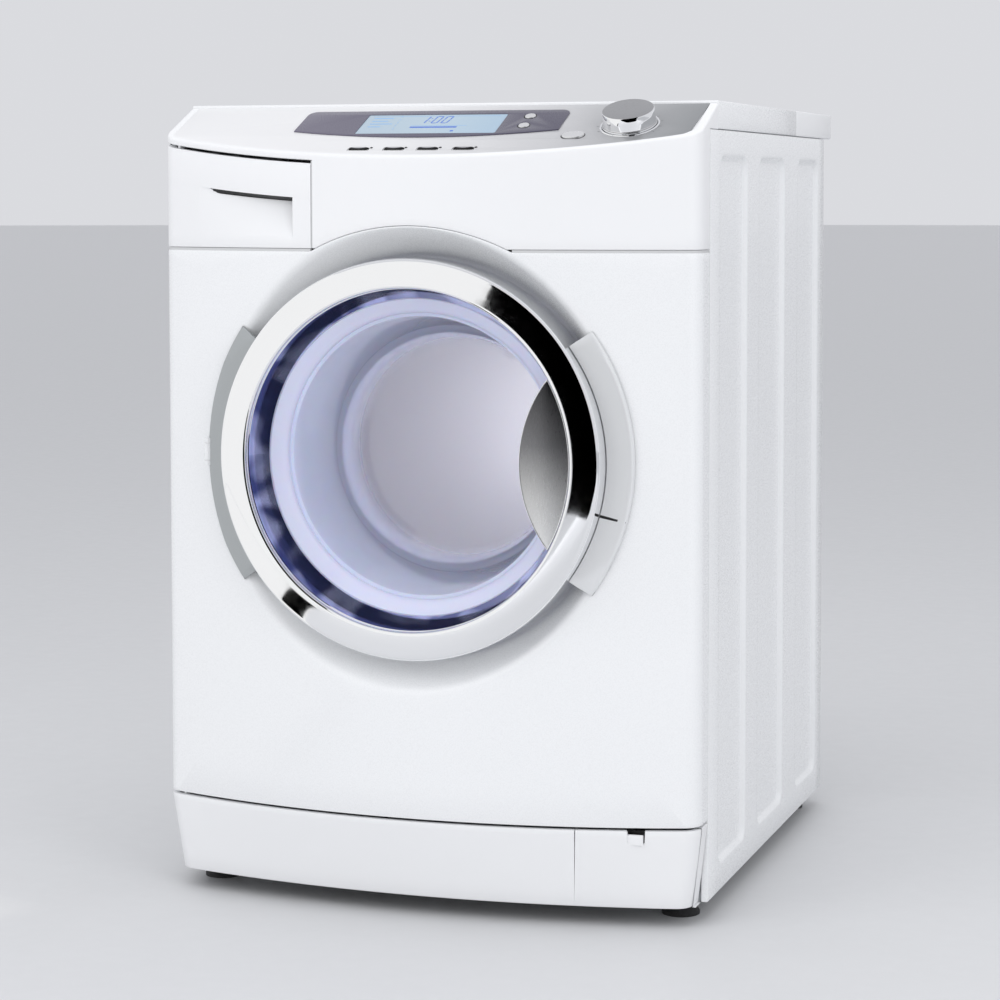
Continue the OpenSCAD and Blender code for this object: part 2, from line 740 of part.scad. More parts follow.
module program_knob() color("silver") on_slope(knob_x, knob_v, 0) {
    difference() {
        translate([0, 0, 0.6]) rotate_extrude()
            polygon([[0, 0], [knob_r, 0], [knob_r, 1.5], [knob_r - 0.5, 2], [knob_r - 1, knob_h - 2],
                     [knob_r - 3, knob_h], [0, knob_h]]);
        // Finger scoop at the front.
        translate([0, -knob_r - 14, knob_h * 0.4]) rotate([-38, 0, 0])
            translate([-30, 0, 0]) cube([60, 30, 40]);
    }
    translate([0, 0, -11]) cylinder(r = 3, h = 12);
}

module oval_button(x, v, w, h, lift) on_slope(x, v, -9)
    linear_extrude(9 + lift) polygon(round_box(w, h, h / 2 - 0.01));

module round_button(v) color("silver") on_slope(round_x, v, -9) {
    cylinder(r = round_r, h = 10.6);
    translate([0, 0, 10.6]) cylinder(r1 = round_r, r2 = round_r - 1, h = 0.9);
}

module start_button() color("silver") oval_button(start_x, start_v, start_w, start_h, 2.4);
module reset_button() round_button(reset_v);
module delay_button() round_button(delay_v);
module option_button(i) color("dimgray")
    oval_button(option_xs[i], option_v, option_w, option_h, 1.6);
module option_button_1() option_button(0);
module option_button_2() option_button(1);
module option_button_3() option_button(2);
module option_button_4() option_button(3);

// ---- detergent drawer ----

// Space of the grip pocket: flush at its foot and deepest under its upper edge.
module pocket_space(wall) difference() {
    translate([pocket_x0 - wall, -360, pocket_z0 - wall])
        cube([pocket_x1 - pocket_x0 + 2 * wall, 80, 90]);
    over_slope(-pocket_drop + wall);
    translate([pocket_x0, pocket_foot_y + wall, pocket_z0]) rotate([0, 0, pocket_turn])
        rotate([-pocket_lean, 0, 0]) translate([-60, 0, -40]) cube([240, 120, 160]);
}

module drawer_front() color("white") difference() {
    union() {
        difference() {
            front_solid(0, fascia_z, drawer_top_z, corner_y);
            front_solid(drawer_t, fascia_z - 1, 810, corner_y + 1);
        }
        intersection() {
            pocket_space(2);
            front_solid(1, fascia_z, drawer_top_z, corner_y);
        }
    }
    over_slope(-drawer_drop);
    translate([drawer_x1, -400, fascia_z - 5]) cube([500, 300, 200]);
    pocket_space(0);
}

module detergent_tray() color("lightsteelblue") difference() {
    union() {
        translate([tray_x0, tray_y0, tray_z0])
            cube([tray_x1 - tray_x0, tray_y1 - tray_y0, tray_z1 - tray_z0 - 4]);
        // Bracket that carries the front.
        difference() {
            translate([tray_x0 + 4, tray_y0 - 60, tray_z0 + 36])
                cube([tray_x1 - tray_x0 - 8, 62, 7]);
            difference() {
                translate([-400, -450, tray_z0]) cube([400, 300, 80]);
                front_solid(drawer_t + 0.2, tray_z0 - 10, tray_z0 + 90, 0);
            }
        }
    }
    for (i = [0:2])
        translate([tray_x0 + 2.5 + i * 55, tray_y0 + 2.5, tray_z0 + 2.5])
            cube([i == 2 ? 53 : 52.5, tray_y1 - tray_y0 - 5, 60]);
}

// ---- drain filter ----

module pump_filter() color("dimgray") {
    along_y(filter_x, filter_y0, filter_z) cylinder(r = filter_r, h = 30);
    along_y(filter_x, filter_y0 + 30, filter_z) cylinder(r = filter_r - 8, h = 44);
    translate([filter_x - 24, filter_y0 - 9, filter_z - 3]) cube([48, 9, 6]);
}

// ---- washing unit ----

module tub_front() color("lightgray") {
    about_door() rotate_extrude($fn = 180)
        polygon([[177, 270], [179.5, 270], [179.5, 262], [250, 262], [tub_r, 250], [tub_r, 74],
                 [tub_r + 5, 74], [tub_r + 5, 70], [258, 70], [258, 248.3], [248.3, 258.5],
                 [177, 258.5]]);
    // Sump spigot.
    difference() {
        translate([hose_x, hose_y, hose_z1 - 22]) cylinder(r = hose_r - 4, h = 60);
        tub_space(-1);
    }
}

module tub_rear() color("lightgray") difference() {
    union() {
        about_door() rotate_extrude($fn = 180)
            polygon([[258, 69.5], [tub_r + 5, 69.5], [tub_r + 5, 65.5], [tub_r, 65.5],
                     [tub_r, -tub_rear_y], [52, -tub_rear_y], [52, -142], [bearing_r + bore_fit, -142],
                     [bearing_r + bore_fit, -90], [52, -90], [52, 4 - tub_rear_y], [258, 4 - tub_rear_y]]);
        // Ribs behind the rear wall.
        for (a = [0:45:315])
            translate([0, 0, door_z]) rotate([0, a, 0]) translate([50, tub_rear_y - 0.5, -2.5])
                cube([tub_r - 62, 20, 5]);
    }
    along_y(0, 140, door_z) cylinder(r = drum_pulley_r + 4, h = 20);
}

module counterweight() color("darkgray") difference() {
    translate([-205, -75, 690]) cube([265, 150, 100]);
    tub_space(5 + gap);
}

module drum_bearings() color("silver") for (y = [94, 124])
    difference() {
        along_y(0, y, door_z) cylinder(r = bearing_r, h = 16);
        along_y(0, y - 1, door_z) cylinder(r = shaft_r + bore_fit, h = 18);
    }

module drying_unit() color("silver") difference() {
    union() {
        translate([84, -150, 750]) cube([130, 230, 44]);
        translate([154, 60, 720]) cylinder(r = 56, h = 74);
        translate([130, -190, 690]) cylinder(r = 26, h = 95);
        translate([104, -190, 750]) cube([52, 60, 36]);
        translate([154, 60, 650]) cylinder(r = 26, h = 80);
    }
    tub_space(5 + gap);
}

module drive_belt() color("black")
    translate([0, belt_y + belt_w / 2, door_z]) rotate([90, 0, 0]) linear_extrude(belt_w)
        difference() {
            polygon(belt_path(drum_pulley_r + gap + belt_t, motor_pulley_r + gap + belt_t,
                              door_z - motor_z));
            polygon(belt_path(drum_pulley_r + gap, motor_pulley_r + gap, door_z - motor_z));
        }

module drum_motor() color("dimgray") difference() {
    union() {
        along_y(0, -5, motor_z) cylinder(r = 56, h = 135);
        along_y(0, 128, motor_z) cylinder(r = 20, h = 14);
        for (y = [12, 96]) translate([-28, y, motor_z + 40]) cube([56, 14, 40]);
    }
    along_y(0, 96, motor_z) cylinder(r = 8 + bore_fit, h = 60);
    tub_space(5 + gap);
}

module damper_rods() color("silver") for (x = [-damper_x, damper_x]) {
    translate([x, damper_y, 60]) cylinder(r = rod_r, h = 190);
    difference() {
        translate([x - 12, damper_y - 14, 238]) cube([24, 28, 40]);
        tub_space(5 + gap);
    }
}

module drum_shell() color("silver") about_door() rotate_extrude($fn = 180)
    polygon([[165, 247], [166.5, 247], [166.5, 244.5], [236, 244.5], [drum_r, 236],
             [drum_r, -63], [0, -63], [0, -62], [drum_r - 1, -62], [drum_r - 1, 235.6],
             [235.6, 243.5], [165, 243.5]]);

module drum_lifters() color("whitesmoke") for (a = [90, 210, 330])
    translate([0, 0, door_z]) rotate([0, a, 0]) rotate([90, 0, 0])
        translate([0, 0, -55]) linear_extrude(280)
            polygon([[drum_r - 4.6, -34], [drum_r - 48, -12], [drum_r - 53, 0], [drum_r - 48, 12],
                     [drum_r - 4.6, 34]]);

module drum_spider() color("darkgray") {
    for (a = [30, 150, 270])
        translate([0, 0, door_z]) rotate([0, a, 0]) translate([0, 63.6, -18])
            cube([drum_r - 4, 13, 36]);
    along_y(0, 63.2, door_z) cylinder(r = 42, h = 18);
    along_y(0, 80, door_z) cylinder(r = shaft_r, h = 65);
    along_y(0, 144, door_z) cylinder(r = 12, h = 34);
}

module drum_pulley() color("gray") along_y(0, belt_y - 12, door_z) difference() {
    cylinder(r = drum_pulley_r, h = 24);
    translate([0, 0, 10]) difference() {
        cylinder(r = drum_pulley_r - 8, h = 20);
        cylinder(r = 30, h = 20);
    }
    translate([0, 0, -1]) cylinder(r = 12.05, h = 30);
    for (a = [0:60:300]) rotate([0, 0, a]) translate([80, 0, -1]) cylinder(r = 28, h = 20);
}

module motor_pulley() color("silver") {
    along_y(0, 100, motor_z) cylinder(r = 8, h = 72);
    along_y(0, belt_y - 10, motor_z) cylinder(r = motor_pulley_r, h = 20);
}

side_panel_left();
side_panel_right();
back_panel();
rear_service_cover();
base_tray();
top_panel();
top_rear_trim();
front_panel();
control_fascia();
control_overlay();
display_bezel();
lcd_screen();
control_board();
dispenser_housing();
kick_plate();
door_hinge_base();
door_lock();
door_seal();
drain_pump();
sump_hose();
inlet_valve();
power_inlet();
damper_bodies();
suspension_springs();
foot_front_left();
foot_front_right();
foot_rear_left();
foot_rear_right();
door_chrome_ring();
door_side_wings();
door_frame();
door_glass();
door_grip_plate();
door_hinge_arm();
door_latch_hook();
program_knob();
start_button();
reset_button();
delay_button();
option_button_1();
option_button_2();
option_button_3();
option_button_4();
drawer_front();
detergent_tray();
filter_flap();
pump_filter();
tub_front();
tub_rear();
counterweight();
drum_bearings();
drying_unit();
drive_belt();
drum_motor();
damper_rods();
drum_shell();
drum_lifters();
drum_spider();
drum_pulley();
motor_pulley();
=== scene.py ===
"""Looks of the front-loading laundry machine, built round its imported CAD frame."""
import math

import bmesh
import bpy
from mathutils import Matrix, Vector


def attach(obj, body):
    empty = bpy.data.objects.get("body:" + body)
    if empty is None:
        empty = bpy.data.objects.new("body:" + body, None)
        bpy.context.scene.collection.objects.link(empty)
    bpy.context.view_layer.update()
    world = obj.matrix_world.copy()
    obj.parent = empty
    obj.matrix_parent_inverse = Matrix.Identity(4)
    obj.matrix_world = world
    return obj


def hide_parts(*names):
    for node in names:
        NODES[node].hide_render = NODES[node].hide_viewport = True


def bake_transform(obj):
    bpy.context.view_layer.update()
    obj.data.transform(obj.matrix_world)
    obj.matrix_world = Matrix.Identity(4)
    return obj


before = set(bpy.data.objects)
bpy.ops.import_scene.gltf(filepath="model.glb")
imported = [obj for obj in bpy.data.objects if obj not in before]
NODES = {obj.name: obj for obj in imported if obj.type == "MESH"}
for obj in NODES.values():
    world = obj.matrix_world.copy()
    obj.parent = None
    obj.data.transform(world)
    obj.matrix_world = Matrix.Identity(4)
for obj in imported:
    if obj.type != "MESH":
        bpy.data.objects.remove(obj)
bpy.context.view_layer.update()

# ---- shared sizes, in millimetres ----
MM = 0.001
HALF_W = 297.5
BOW_R = 920.0
BOW_APEX = -340.5
CORNER_R = 20.0
BACK_Y = -255.0
SIDE_FRONT_Y = -253.0
SIDE_REAR_Y = 312.0
SKIRT_Z = 20.0
SIDE_TOP_Z = 820.0
TOP_Z = 850.0
KICK_TOP_Z = 103.0
PANEL_Z0 = 106.0
PANEL_Z1 = 694.0
FASCIA_Z = 697.0
DRAWER_X1 = -109.5
FASCIA_X0 = -107.5
SLOPE_DEG = 24.5
SLOPE_Z = 792.0
SLOPE_REAR_Y = -220.0
DOOR_Z = 480.0
DISH_FLOOR_R = 209.0
DISH_FLOOR_H = 292.0
DISH_R = 239.0
PORTHOLE_R = 168.0
EYEBROW_R = 240.0
CORNER_X = HALF_W - CORNER_R  # centre of the bow's rounded corners
CORNER_DY = -856.15           # from the bow's centre to the corners' centre
POCKET_DROP = 42.0            # drawer pocket's upper edge below the slope, square to it
WING_IN_R = 208.4
WING_OUT_R = 235.0
WING_HALF_DEG = 35
LATHE_STEPS = 192

TAN = math.tan(math.radians(SLOPE_DEG))
COS = math.cos(math.radians(SLOPE_DEG))
SIN = math.sin(math.radians(SLOPE_DEG))


# ---- materials ----

def add_node(tree, kind, **values):
    """A new node with its sockets, or else its settings, given by name."""
    node = tree.nodes.new(kind)
    for key, value in values.items():
        if key in node.inputs:
            node.inputs[key].default_value = value
        else:
            setattr(node, key, value)
    return node


def maths(tree, kind, a, b=None):
    """A maths node fed by numbers or sockets; returns its output."""
    node = add_node(tree, "ShaderNodeMath", operation=kind)
    for socket, value in zip(node.inputs, (a, b)):
        if isinstance(value, (int, float)):
            socket.default_value = value
        elif value is not None:
            tree.links.new(value, socket)
    return node.outputs[0]


def length(tree, a, b):
    """A socket for the length of the vector (a, b)."""
    squares = maths(tree, "ADD", maths(tree, "MULTIPLY", a, a), maths(tree, "MULTIPLY", b, b))
    return maths(tree, "SQRT", squares)


def stretch_range(tree, value, low, high, to_low=0.0, to_high=1.0, kind="LINEAR"):
    """A socket that maps the span low to high on to another span."""
    node = add_node(tree, "ShaderNodeMapRange", interpolation_type=kind)
    for key, number in (("From Min", low), ("From Max", high), ("To Min", to_low),
                        ("To Max", to_high)):
        node.inputs[key].default_value = number
    tree.links.new(value, node.inputs["Value"])
    return node.outputs["Result"]


def color_bands(tree, value, bands):
    """A socket for the colour at value, from (place, colour) pairs."""
    node = add_node(tree, "ShaderNodeValToRGB")
    stops = node.color_ramp.elements
    while len(stops) < len(bands):
        stops.new(0.5)
    for stop, (at, shade) in zip(stops, bands):
        stop.position = at
        stop.color = (*shade, 1)
    tree.links.new(value, node.inputs["Fac"])
    return node.outputs["Color"]


def blend_color(tree, factor, a, b, mode="MIX"):
    """A socket for the mix of two colours; a factor or colour is a socket or a value."""
    node = add_node(tree, "ShaderNodeMix", data_type="RGBA", blend_type=mode)
    for key, value in (("Factor", factor), ("A", a), ("B", b)):
        if isinstance(value, (int, float, tuple)):
            node.inputs[key].default_value = value
        else:
            tree.links.new(value, node.inputs[key])
    return node.outputs["Result"]


def surface(name, color, rough=(0.3, 0.4), metal=0.0, grain=500.0, bump=0.02, tint=0.03,
            stretch=(1, 1, 1), sockets=None, ramp=None, ramp_axis=0, ramp_span=(0, 1)):
    """A finish with fine grain in its roughness and bump and a slow drift in its colour."""
    mat = bpy.data.materials.new(name)
    mat.use_nodes = True
    tree = mat.node_tree
    link = tree.links.new
    shader = tree.nodes["Principled BSDF"]
    place = add_node(tree, "ShaderNodeTexCoord")
    spread = add_node(tree, "ShaderNodeMapping", Scale=stretch)
    link(place.outputs["Object"], spread.inputs["Vector"])
    fine = add_node(tree, "ShaderNodeTexNoise", Scale=grain, Detail=4.0, Roughness=0.6)
    link(spread.outputs["Vector"], fine.inputs["Vector"])
    broad = add_node(tree, "ShaderNodeTexNoise", Scale=9.0, Detail=2.0)
    link(place.outputs["Object"], broad.inputs["Vector"])
    link(stretch_range(tree, fine.outputs["Fac"], 0.3, 0.7, *rough), shader.inputs["Roughness"])
    relief = add_node(tree, "ShaderNodeBump", Strength=bump, Distance=0.0003)
    link(fine.outputs["Fac"], relief.inputs["Height"])
    link(relief.outputs["Normal"], shader.inputs["Normal"])
    shaded = tuple(c * (1 - tint) for c in color)
    out = blend_color(tree, broad.outputs["Fac"], (*shaded, 1), (*color, 1))
    if ramp:
        split = add_node(tree, "ShaderNodeSeparateXYZ")
        link(place.outputs["Object"], split.inputs["Vector"])
        along = stretch_range(tree, split.outputs[ramp_axis], *ramp_span)
        out = blend_color(tree, 1.0, out, color_bands(tree, along, ramp), "MULTIPLY")
    link(out, shader.inputs["Base Color"])
    shader.inputs["Metallic"].default_value = metal
    for key, value in (sockets or {}).items():
        shader.inputs[key].default_value = value
    return mat


ENAMEL = surface("white_enamel", (0.86, 0.87, 0.88), (0.22, 0.34), grain=900, bump=0.02,
                 tint=0.012, sockets={"Coat Weight": 0.35, "Coat Roughness": 0.12})
PLASTIC = surface("white_plastic", (0.86, 0.865, 0.875), (0.3, 0.42), grain=1400, bump=0.06,
                  tint=0.012)
CHROME = surface("ring_chrome", (0.95, 0.955, 0.965), (0.03, 0.07), metal=1.0, grain=160,
                 bump=0.005, tint=0.01)
SATIN = surface("satin_silver", (0.80, 0.81, 0.82), (0.34, 0.42), metal=0.3, grain=900,
                bump=0.02, tint=0.015)
# A darker copy of the satin silver, for the left wing: painted shade.
WING_PAINTED_SHADE = surface("satin_painted_shade", (0.40, 0.42, 0.43), (0.3, 0.42), metal=0.4, grain=700,
                    bump=0.03, tint=0.03)
# The grip's colour ramp, white at the bottom to near black at the top, is a painted reflection.
GRIP = surface("brushed_grip", (0.9, 0.9, 0.9), (0.24, 0.36), metal=0.9, grain=260, bump=0.05,
               stretch=(8, 8, 0.4), ramp=[(0, (1, 1, 1)), (0.3, (0.7, 0.7, 0.7)),
                                          (0.6, (0.25, 0.25, 0.26)),
                                          (1, (0.02, 0.02, 0.022))],
               ramp_axis=2, ramp_span=(0.39, 0.57))
KNOB_TOP = surface("brushed_knob", (0.44, 0.44, 0.45), (0.26, 0.36), metal=0.9, grain=300,
                   bump=0.05, stretch=(0.5, 8, 8))
# The overlay's colour ramp, white at the left to grey at the right, is a painted reflection.
OVERLAY = surface("silver_overlay", (0.92, 0.92, 0.925), (0.3, 0.4), metal=0.35, grain=1600,
                  bump=0.02, tint=0.02,
                  ramp=[(0, (1, 1, 1)), (0.45, (0.93, 0.93, 0.93)), (0.75, (0.66, 0.66, 0.67)),
                        (1, (0.3, 0.31, 0.32))], ramp_axis=0, ramp_span=(-0.29, 0.29))
# The bezel's colour ramp, lighter at the left and darker at the right, is a painted reflection.
AUBERGINE = surface("bezel_purple", (0.125, 0.115, 0.165), (0.2, 0.32), grain=1200, bump=0.03,
                    tint=0.08, ramp=[(0, (1.0, 0.98, 1.0)), (0.35, (0.8, 0.8, 0.85)),
                                     (1, (0.55, 0.55, 0.62))],
                    ramp_axis=0, ramp_span=(-0.15, 0.15), sockets={"Coat Weight": 0.4})
LCD = surface("lcd_blue", (0.45, 0.57, 0.66), (0.12, 0.2), grain=2400, bump=0.02, tint=0.1,
              ramp=[(0, (0.95, 0.97, 1)), (0.5, (1, 1, 1)), (1, (0.85, 0.92, 1))],
              ramp_axis=0, ramp_span=(-0.08, 0.08), sockets={"Coat Weight": 0.3})
LCD_INK = surface("lcd_ink", (0.06, 0.16, 0.62), (0.3, 0.4), grain=900, bump=0.02, tint=0.1)
LCD_PALE = surface("lcd_pale_ink", (0.28, 0.50, 0.80), (0.3, 0.4), grain=900, bump=0.02,
                   tint=0.1)
BUTTON = surface("button_silver", (0.78, 0.78, 0.79), (0.16, 0.26), metal=0.7, grain=800,
                 bump=0.02, tint=0.03)
OPTION = surface("button_dark", (0.60, 0.60, 0.62), (0.14, 0.24), metal=0.8, grain=800,
                 bump=0.02, tint=0.05)
# Black for the small lamps and the flap's well, and for painted shadow and painted reflection on
# the key wells, drawer slot, wing line and key fronts.
BLACK = surface("black_marks_and_painted_shade", (0.012, 0.012, 0.013), (0.5, 0.7), grain=600, bump=0.05, tint=0.2)
COLLAR = surface("lilac_plastic", (0.76, 0.78, 0.96), (0.26, 0.4), grain=600, bump=0.02,
                 tint=0.05, sockets={"Subsurface Weight": 0.35, "Subsurface Scale": 0.012,
                                     "Coat Weight": 0.3})
SEAL = surface("seal_rubber", (0.70, 0.73, 0.93), (0.4, 0.55), grain=700, bump=0.05, tint=0.06,
               sockets={"Subsurface Weight": 0.25, "Subsurface Scale": 0.01})
TRAY = surface("tray_blue", (0.42, 0.55, 0.75), (0.3, 0.45), grain=900, bump=0.04)
SEAM = surface("seam_grey", (0.62, 0.625, 0.63), (0.5, 0.6), grain=900, bump=0.05)
GREY = surface("grey_plastic", (0.16, 0.165, 0.17), (0.4, 0.55), grain=900, bump=0.06)
TUB = surface("tub_plastic", (0.52, 0.53, 0.54), (0.45, 0.6), grain=350, bump=0.08)
GALVANISED = surface("galvanised", (0.56, 0.58, 0.60), (0.3, 0.52), metal=0.85, grain=60,
                     bump=0.04, tint=0.18)
STEEL = surface("hinge_steel", (0.55, 0.56, 0.57), (0.25, 0.38), metal=0.95, grain=400,
                bump=0.04, tint=0.06)
CAST = surface("cast_alu", (0.42, 0.43, 0.44), (0.42, 0.6), metal=0.8, grain=220, bump=0.15,
               tint=0.1)
BEARING = surface("bearing_steel", (0.62, 0.62, 0.62), (0.15, 0.25), metal=1.0, grain=300,
                  bump=0.02)
CONCRETE = surface("concrete", (0.34, 0.33, 0.32), (0.8, 0.95), grain=90, bump=0.5, tint=0.2)
MOTOR = surface("motor_black", (0.03, 0.03, 0.032), (0.4, 0.55), metal=0.4, grain=300,
                bump=0.1)
RUBBER = surface("black_rubber", (0.02, 0.02, 0.021), (0.6, 0.8), grain=500, bump=0.1)
BOARD = surface("board_green", (0.03, 0.16, 0.07), (0.35, 0.5), grain=400, bump=0.1, tint=0.2)


def axes_from_door(tree):
    """Sockets for X, Y and the height above the door's axis, in metres."""
    place = add_node(tree, "ShaderNodeTexCoord")
    split = add_node(tree, "ShaderNodeSeparateXYZ")
    tree.links.new(place.outputs["Object"], split.inputs["Vector"])
    height = maths(tree, "SUBTRACT", split.outputs["Z"], DOOR_Z * MM)
    return split.outputs["X"], split.outputs["Y"], height


HOLES_PER_RADIAN = 26.0
HOLE_ROWS_PER_M = 100.0
HOLE_R = 0.2           # as a share of the holes' spacing
DRUM_WALL_R = 0.2405   # metres; only the drum's round wall is beyond it


def perforated_steel():
    """Drum steel with staggered rows of small round holes painted round its wall."""
    mat = surface("drum_steel", (0.84, 0.83, 0.88), (0.28, 0.36), metal=0.45, grain=40,
                  bump=0.004, tint=0.05, stretch=(1, 8, 1))
    tree = mat.node_tree
    color = tree.nodes["Principled BSDF"].inputs["Base Color"]
    x, y, height = axes_from_door(tree)
    across = maths(tree, "MULTIPLY", maths(tree, "ARCTAN2", x, height), HOLES_PER_RADIAN)
    along = maths(tree, "MULTIPLY", y, HOLE_ROWS_PER_M)
    every_other = maths(tree, "PINGPONG", maths(tree, "FLOOR", along), 1.0)
    shifted = maths(tree, "ADD", across, maths(tree, "MULTIPLY", every_other, 0.5))
    du = maths(tree, "SUBTRACT", maths(tree, "FRACT", shifted), 0.5)
    dv = maths(tree, "SUBTRACT", maths(tree, "FRACT", along), 0.5)
    hole = maths(tree, "LESS_THAN", length(tree, du, dv), HOLE_R)
    wall = maths(tree, "GREATER_THAN", length(tree, height, x), DRUM_WALL_R)
    mask = maths(tree, "MULTIPLY", hole, wall)
    dark = blend_color(tree, mask, color.links[0].from_socket, (0.03, 0.03, 0.035, 1))
    tree.links.new(dark, color)
    return mat


DRUM = perforated_steel()


def door_polar(tree):
    """Sockets for the distance from the door's axis, in metres, and the angle about it."""
    x, _, height = axes_from_door(tree)
    return length(tree, height, x), maths(tree, "ARCTAN2", height, x)


CLEAR_R = 0.108   # metres from the door's axis, where the milky edge starts
MILKY_R = 0.146


def clear_glass():
    """Bowl glass, clear in the middle and milky lilac, with a faint glow of painted light, towards
    its wall.
    """
    # The emission is painted light: a glow from the milky glass, which is no lamp.
    mat = surface("bowl_glass", (0.76, 0.78, 0.98), (0.1, 0.2), grain=60, bump=0.1, tint=0.05,
                  sockets={"Subsurface Weight": 0.5, "Subsurface Scale": 0.02,
                           "Emission Color": (0.70, 0.74, 1.0, 1), "Emission Strength": 0.26})
    tree = mat.node_tree
    link = tree.links.new
    milk = tree.nodes["Principled BSDF"]
    end = tree.nodes["Material Output"]
    radius, _ = door_polar(tree)
    wall = stretch_range(tree, radius, CLEAR_R, MILKY_R, 0.06, 0.7, "SMOOTHSTEP")
    clear = add_node(tree, "ShaderNodeBsdfTransparent")
    clear.inputs["Color"].default_value = (0.975, 0.975, 0.985, 1)
    body = add_node(tree, "ShaderNodeMixShader")
    link(wall, body.inputs[0])
    link(clear.outputs[0], body.inputs[1])
    link(milk.outputs[0], body.inputs[2])
    waves = add_node(tree, "ShaderNodeTexNoise", Scale=16.0, Detail=1.0)
    place = add_node(tree, "ShaderNodeTexCoord")
    link(place.outputs["Object"], waves.inputs["Vector"])
    ripple = add_node(tree, "ShaderNodeBump", Strength=0.35, Distance=0.004)
    link(waves.outputs["Fac"], ripple.inputs["Height"])
    shine = add_node(tree, "ShaderNodeBsdfGlossy", Roughness=0.04)
    link(ripple.outputs["Normal"], shine.inputs["Normal"])
    rim = add_node(tree, "ShaderNodeFresnel", IOR=1.5)
    link(ripple.outputs["Normal"], rim.inputs["Normal"])
    top = add_node(tree, "ShaderNodeMixShader")
    link(rim.outputs[0], top.inputs[0])
    link(body.outputs[0], top.inputs[1])
    link(shine.outputs[0], top.inputs[2])
    link(top.outputs[0], end.inputs["Surface"])
    return mat


GLASS = clear_glass()


def tinted_chrome():
    """Polished navy chrome of the bezel, with paler patches of painted reflection that run across
    it.
    """
    mat = surface("bezel_chrome", (0.10, 0.12, 0.30), (0.05, 0.12), metal=0.9, grain=120,
                  bump=0.02, tint=0.2)
    tree = mat.node_tree
    link = tree.links.new
    color = tree.nodes["Principled BSDF"].inputs["Base Color"]
    radius, angle = door_polar(tree)
    spot = add_node(tree, "ShaderNodeCombineXYZ")
    link(maths(tree, "MULTIPLY", angle, 1.6), spot.inputs["X"])
    link(maths(tree, "MULTIPLY", radius, 22.0), spot.inputs["Y"])
    reflection_patch = add_node(tree, "ShaderNodeTexNoise", Scale=1.9, Detail=1.5, Distortion=0.6)
    link(spot.outputs[0], reflection_patch.inputs["Vector"])
    # The paler patches are painted reflection on the chrome.
    pale = color_bands(tree, reflection_patch.outputs["Fac"], ((0.46, (0, 0, 0)), (0.58, (1, 1, 1))))
    link(blend_color(tree, pale, color.links[0].from_socket, (0.62, 0.66, 0.92, 1)), color)
    return mat


BEZEL_CHROME = tinted_chrome()


# ---- mesh building ----

class Shape:
    """Points in millimetres and the faces between them."""

    def __init__(self):
        self.points = []
        self.faces = []

    def row(self, points):
        """Adds points and returns their numbers."""
        first = len(self.points)
        self.points.extend(points)
        return list(range(first, len(self.points)))

    def bridge(self, a, b, closed=False):
        """Faces between two rows of equal length."""
        count = len(a)
        for i in range(count if closed else count - 1):
            j = (i + 1) % count
            self.faces.append((a[i], a[j], b[j], b[i]))

    def grid(self, rows, closed=False, around=False):
        """Rows bridged in turn: closed joins each row's ends, around the last to the first."""
        made = [self.row(points) for points in rows]
        for a, b in zip(made, made[1:]):
            self.bridge(a, b, closed)
        if around:
            self.bridge(made[-1], made[0], closed)
        return made

    def cap(self, made):
        """Closes both ends of a tube made by grid."""
        self.faces += [tuple(made[0]), tuple(reversed(made[-1]))]

    def prism(self, low, top, foot=True):
        """A block between two outlines, left open below where it has no foot."""
        a, b = self.row(low), self.row(top)
        self.bridge(a, b, True)
        self.faces.append(tuple(b))
        if foot:
            self.faces.append(tuple(reversed(a)))

    def mesh(self, name):
        made = bpy.data.meshes.new(name)
        made.from_pydata([[c * MM for c in p] for p in self.points], [], self.faces)
        return made


def piece(name, shape, material, body, replaces=(), angle=32, facing=None,
          bevel=None):
    """Turns a shape into an object that rides on a body."""
    mesh = shape.mesh(name)
    bm = bmesh.new()
    bm.from_mesh(mesh)
    bmesh.ops.remove_doubles(bm, verts=bm.verts, dist=0.00002)
    bmesh.ops.dissolve_degenerate(bm, edges=bm.edges, dist=0.00001)
    bmesh.ops.recalc_face_normals(bm, faces=bm.faces)
    if facing is not None:
        lean = sum((f.normal * f.calc_area() for f in bm.faces), Vector())
        if lean.dot(Vector(facing)) < 0:
            bmesh.ops.reverse_faces(bm, faces=bm.faces)
    bm.to_mesh(mesh)
    bm.free()
    return add_piece(name, mesh, material, body, replaces, angle, bevel)


def add_piece(name, mesh, material, body, replaces=(), angle=32, bevel=None):
    """An object from a mesh, with its edges rounded where bevel gives a width in mm."""
    obj = bpy.data.objects.new(name, mesh)
    bpy.context.scene.collection.objects.link(obj)
    mesh.materials.append(material)
    if bevel:
        mod = obj.modifiers.new("edges", "BEVEL")
        mod.width = bevel * MM
        mod.segments = 3
        mod.limit_method = "ANGLE"
        mod.angle_limit = math.radians(30)
        bpy.context.view_layer.update()
        graph = bpy.context.evaluated_depsgraph_get()
        rounded = bpy.data.meshes.new_from_object(obj.evaluated_get(graph))
        obj.modifiers.clear()
        obj.data = rounded
        rounded.name = name
    obj.data.shade_smooth()
    obj.data.set_sharp_from_angle(angle=math.radians(angle))
    if body:
        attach(obj, body)
    for node in replaces:
        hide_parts(node)
    return obj


def lathe(profile, steps=LATHE_STEPS, axis="door", closed=True):
    """Turns (radius, height) pairs about the door's axis or about Z."""
    shape = Shape()
    rings = []
    for r, h in profile:
        ring = []
        for i in range(steps):
            a = math.radians(360 * i / steps)
            x, up = r * math.cos(a), r * math.sin(a)
            ring.append((x, -h, DOOR_Z + up) if axis == "door" else (x, up, h))
        rings.append(ring)
    shape.grid(rings, closed=True, around=closed)
    return shape


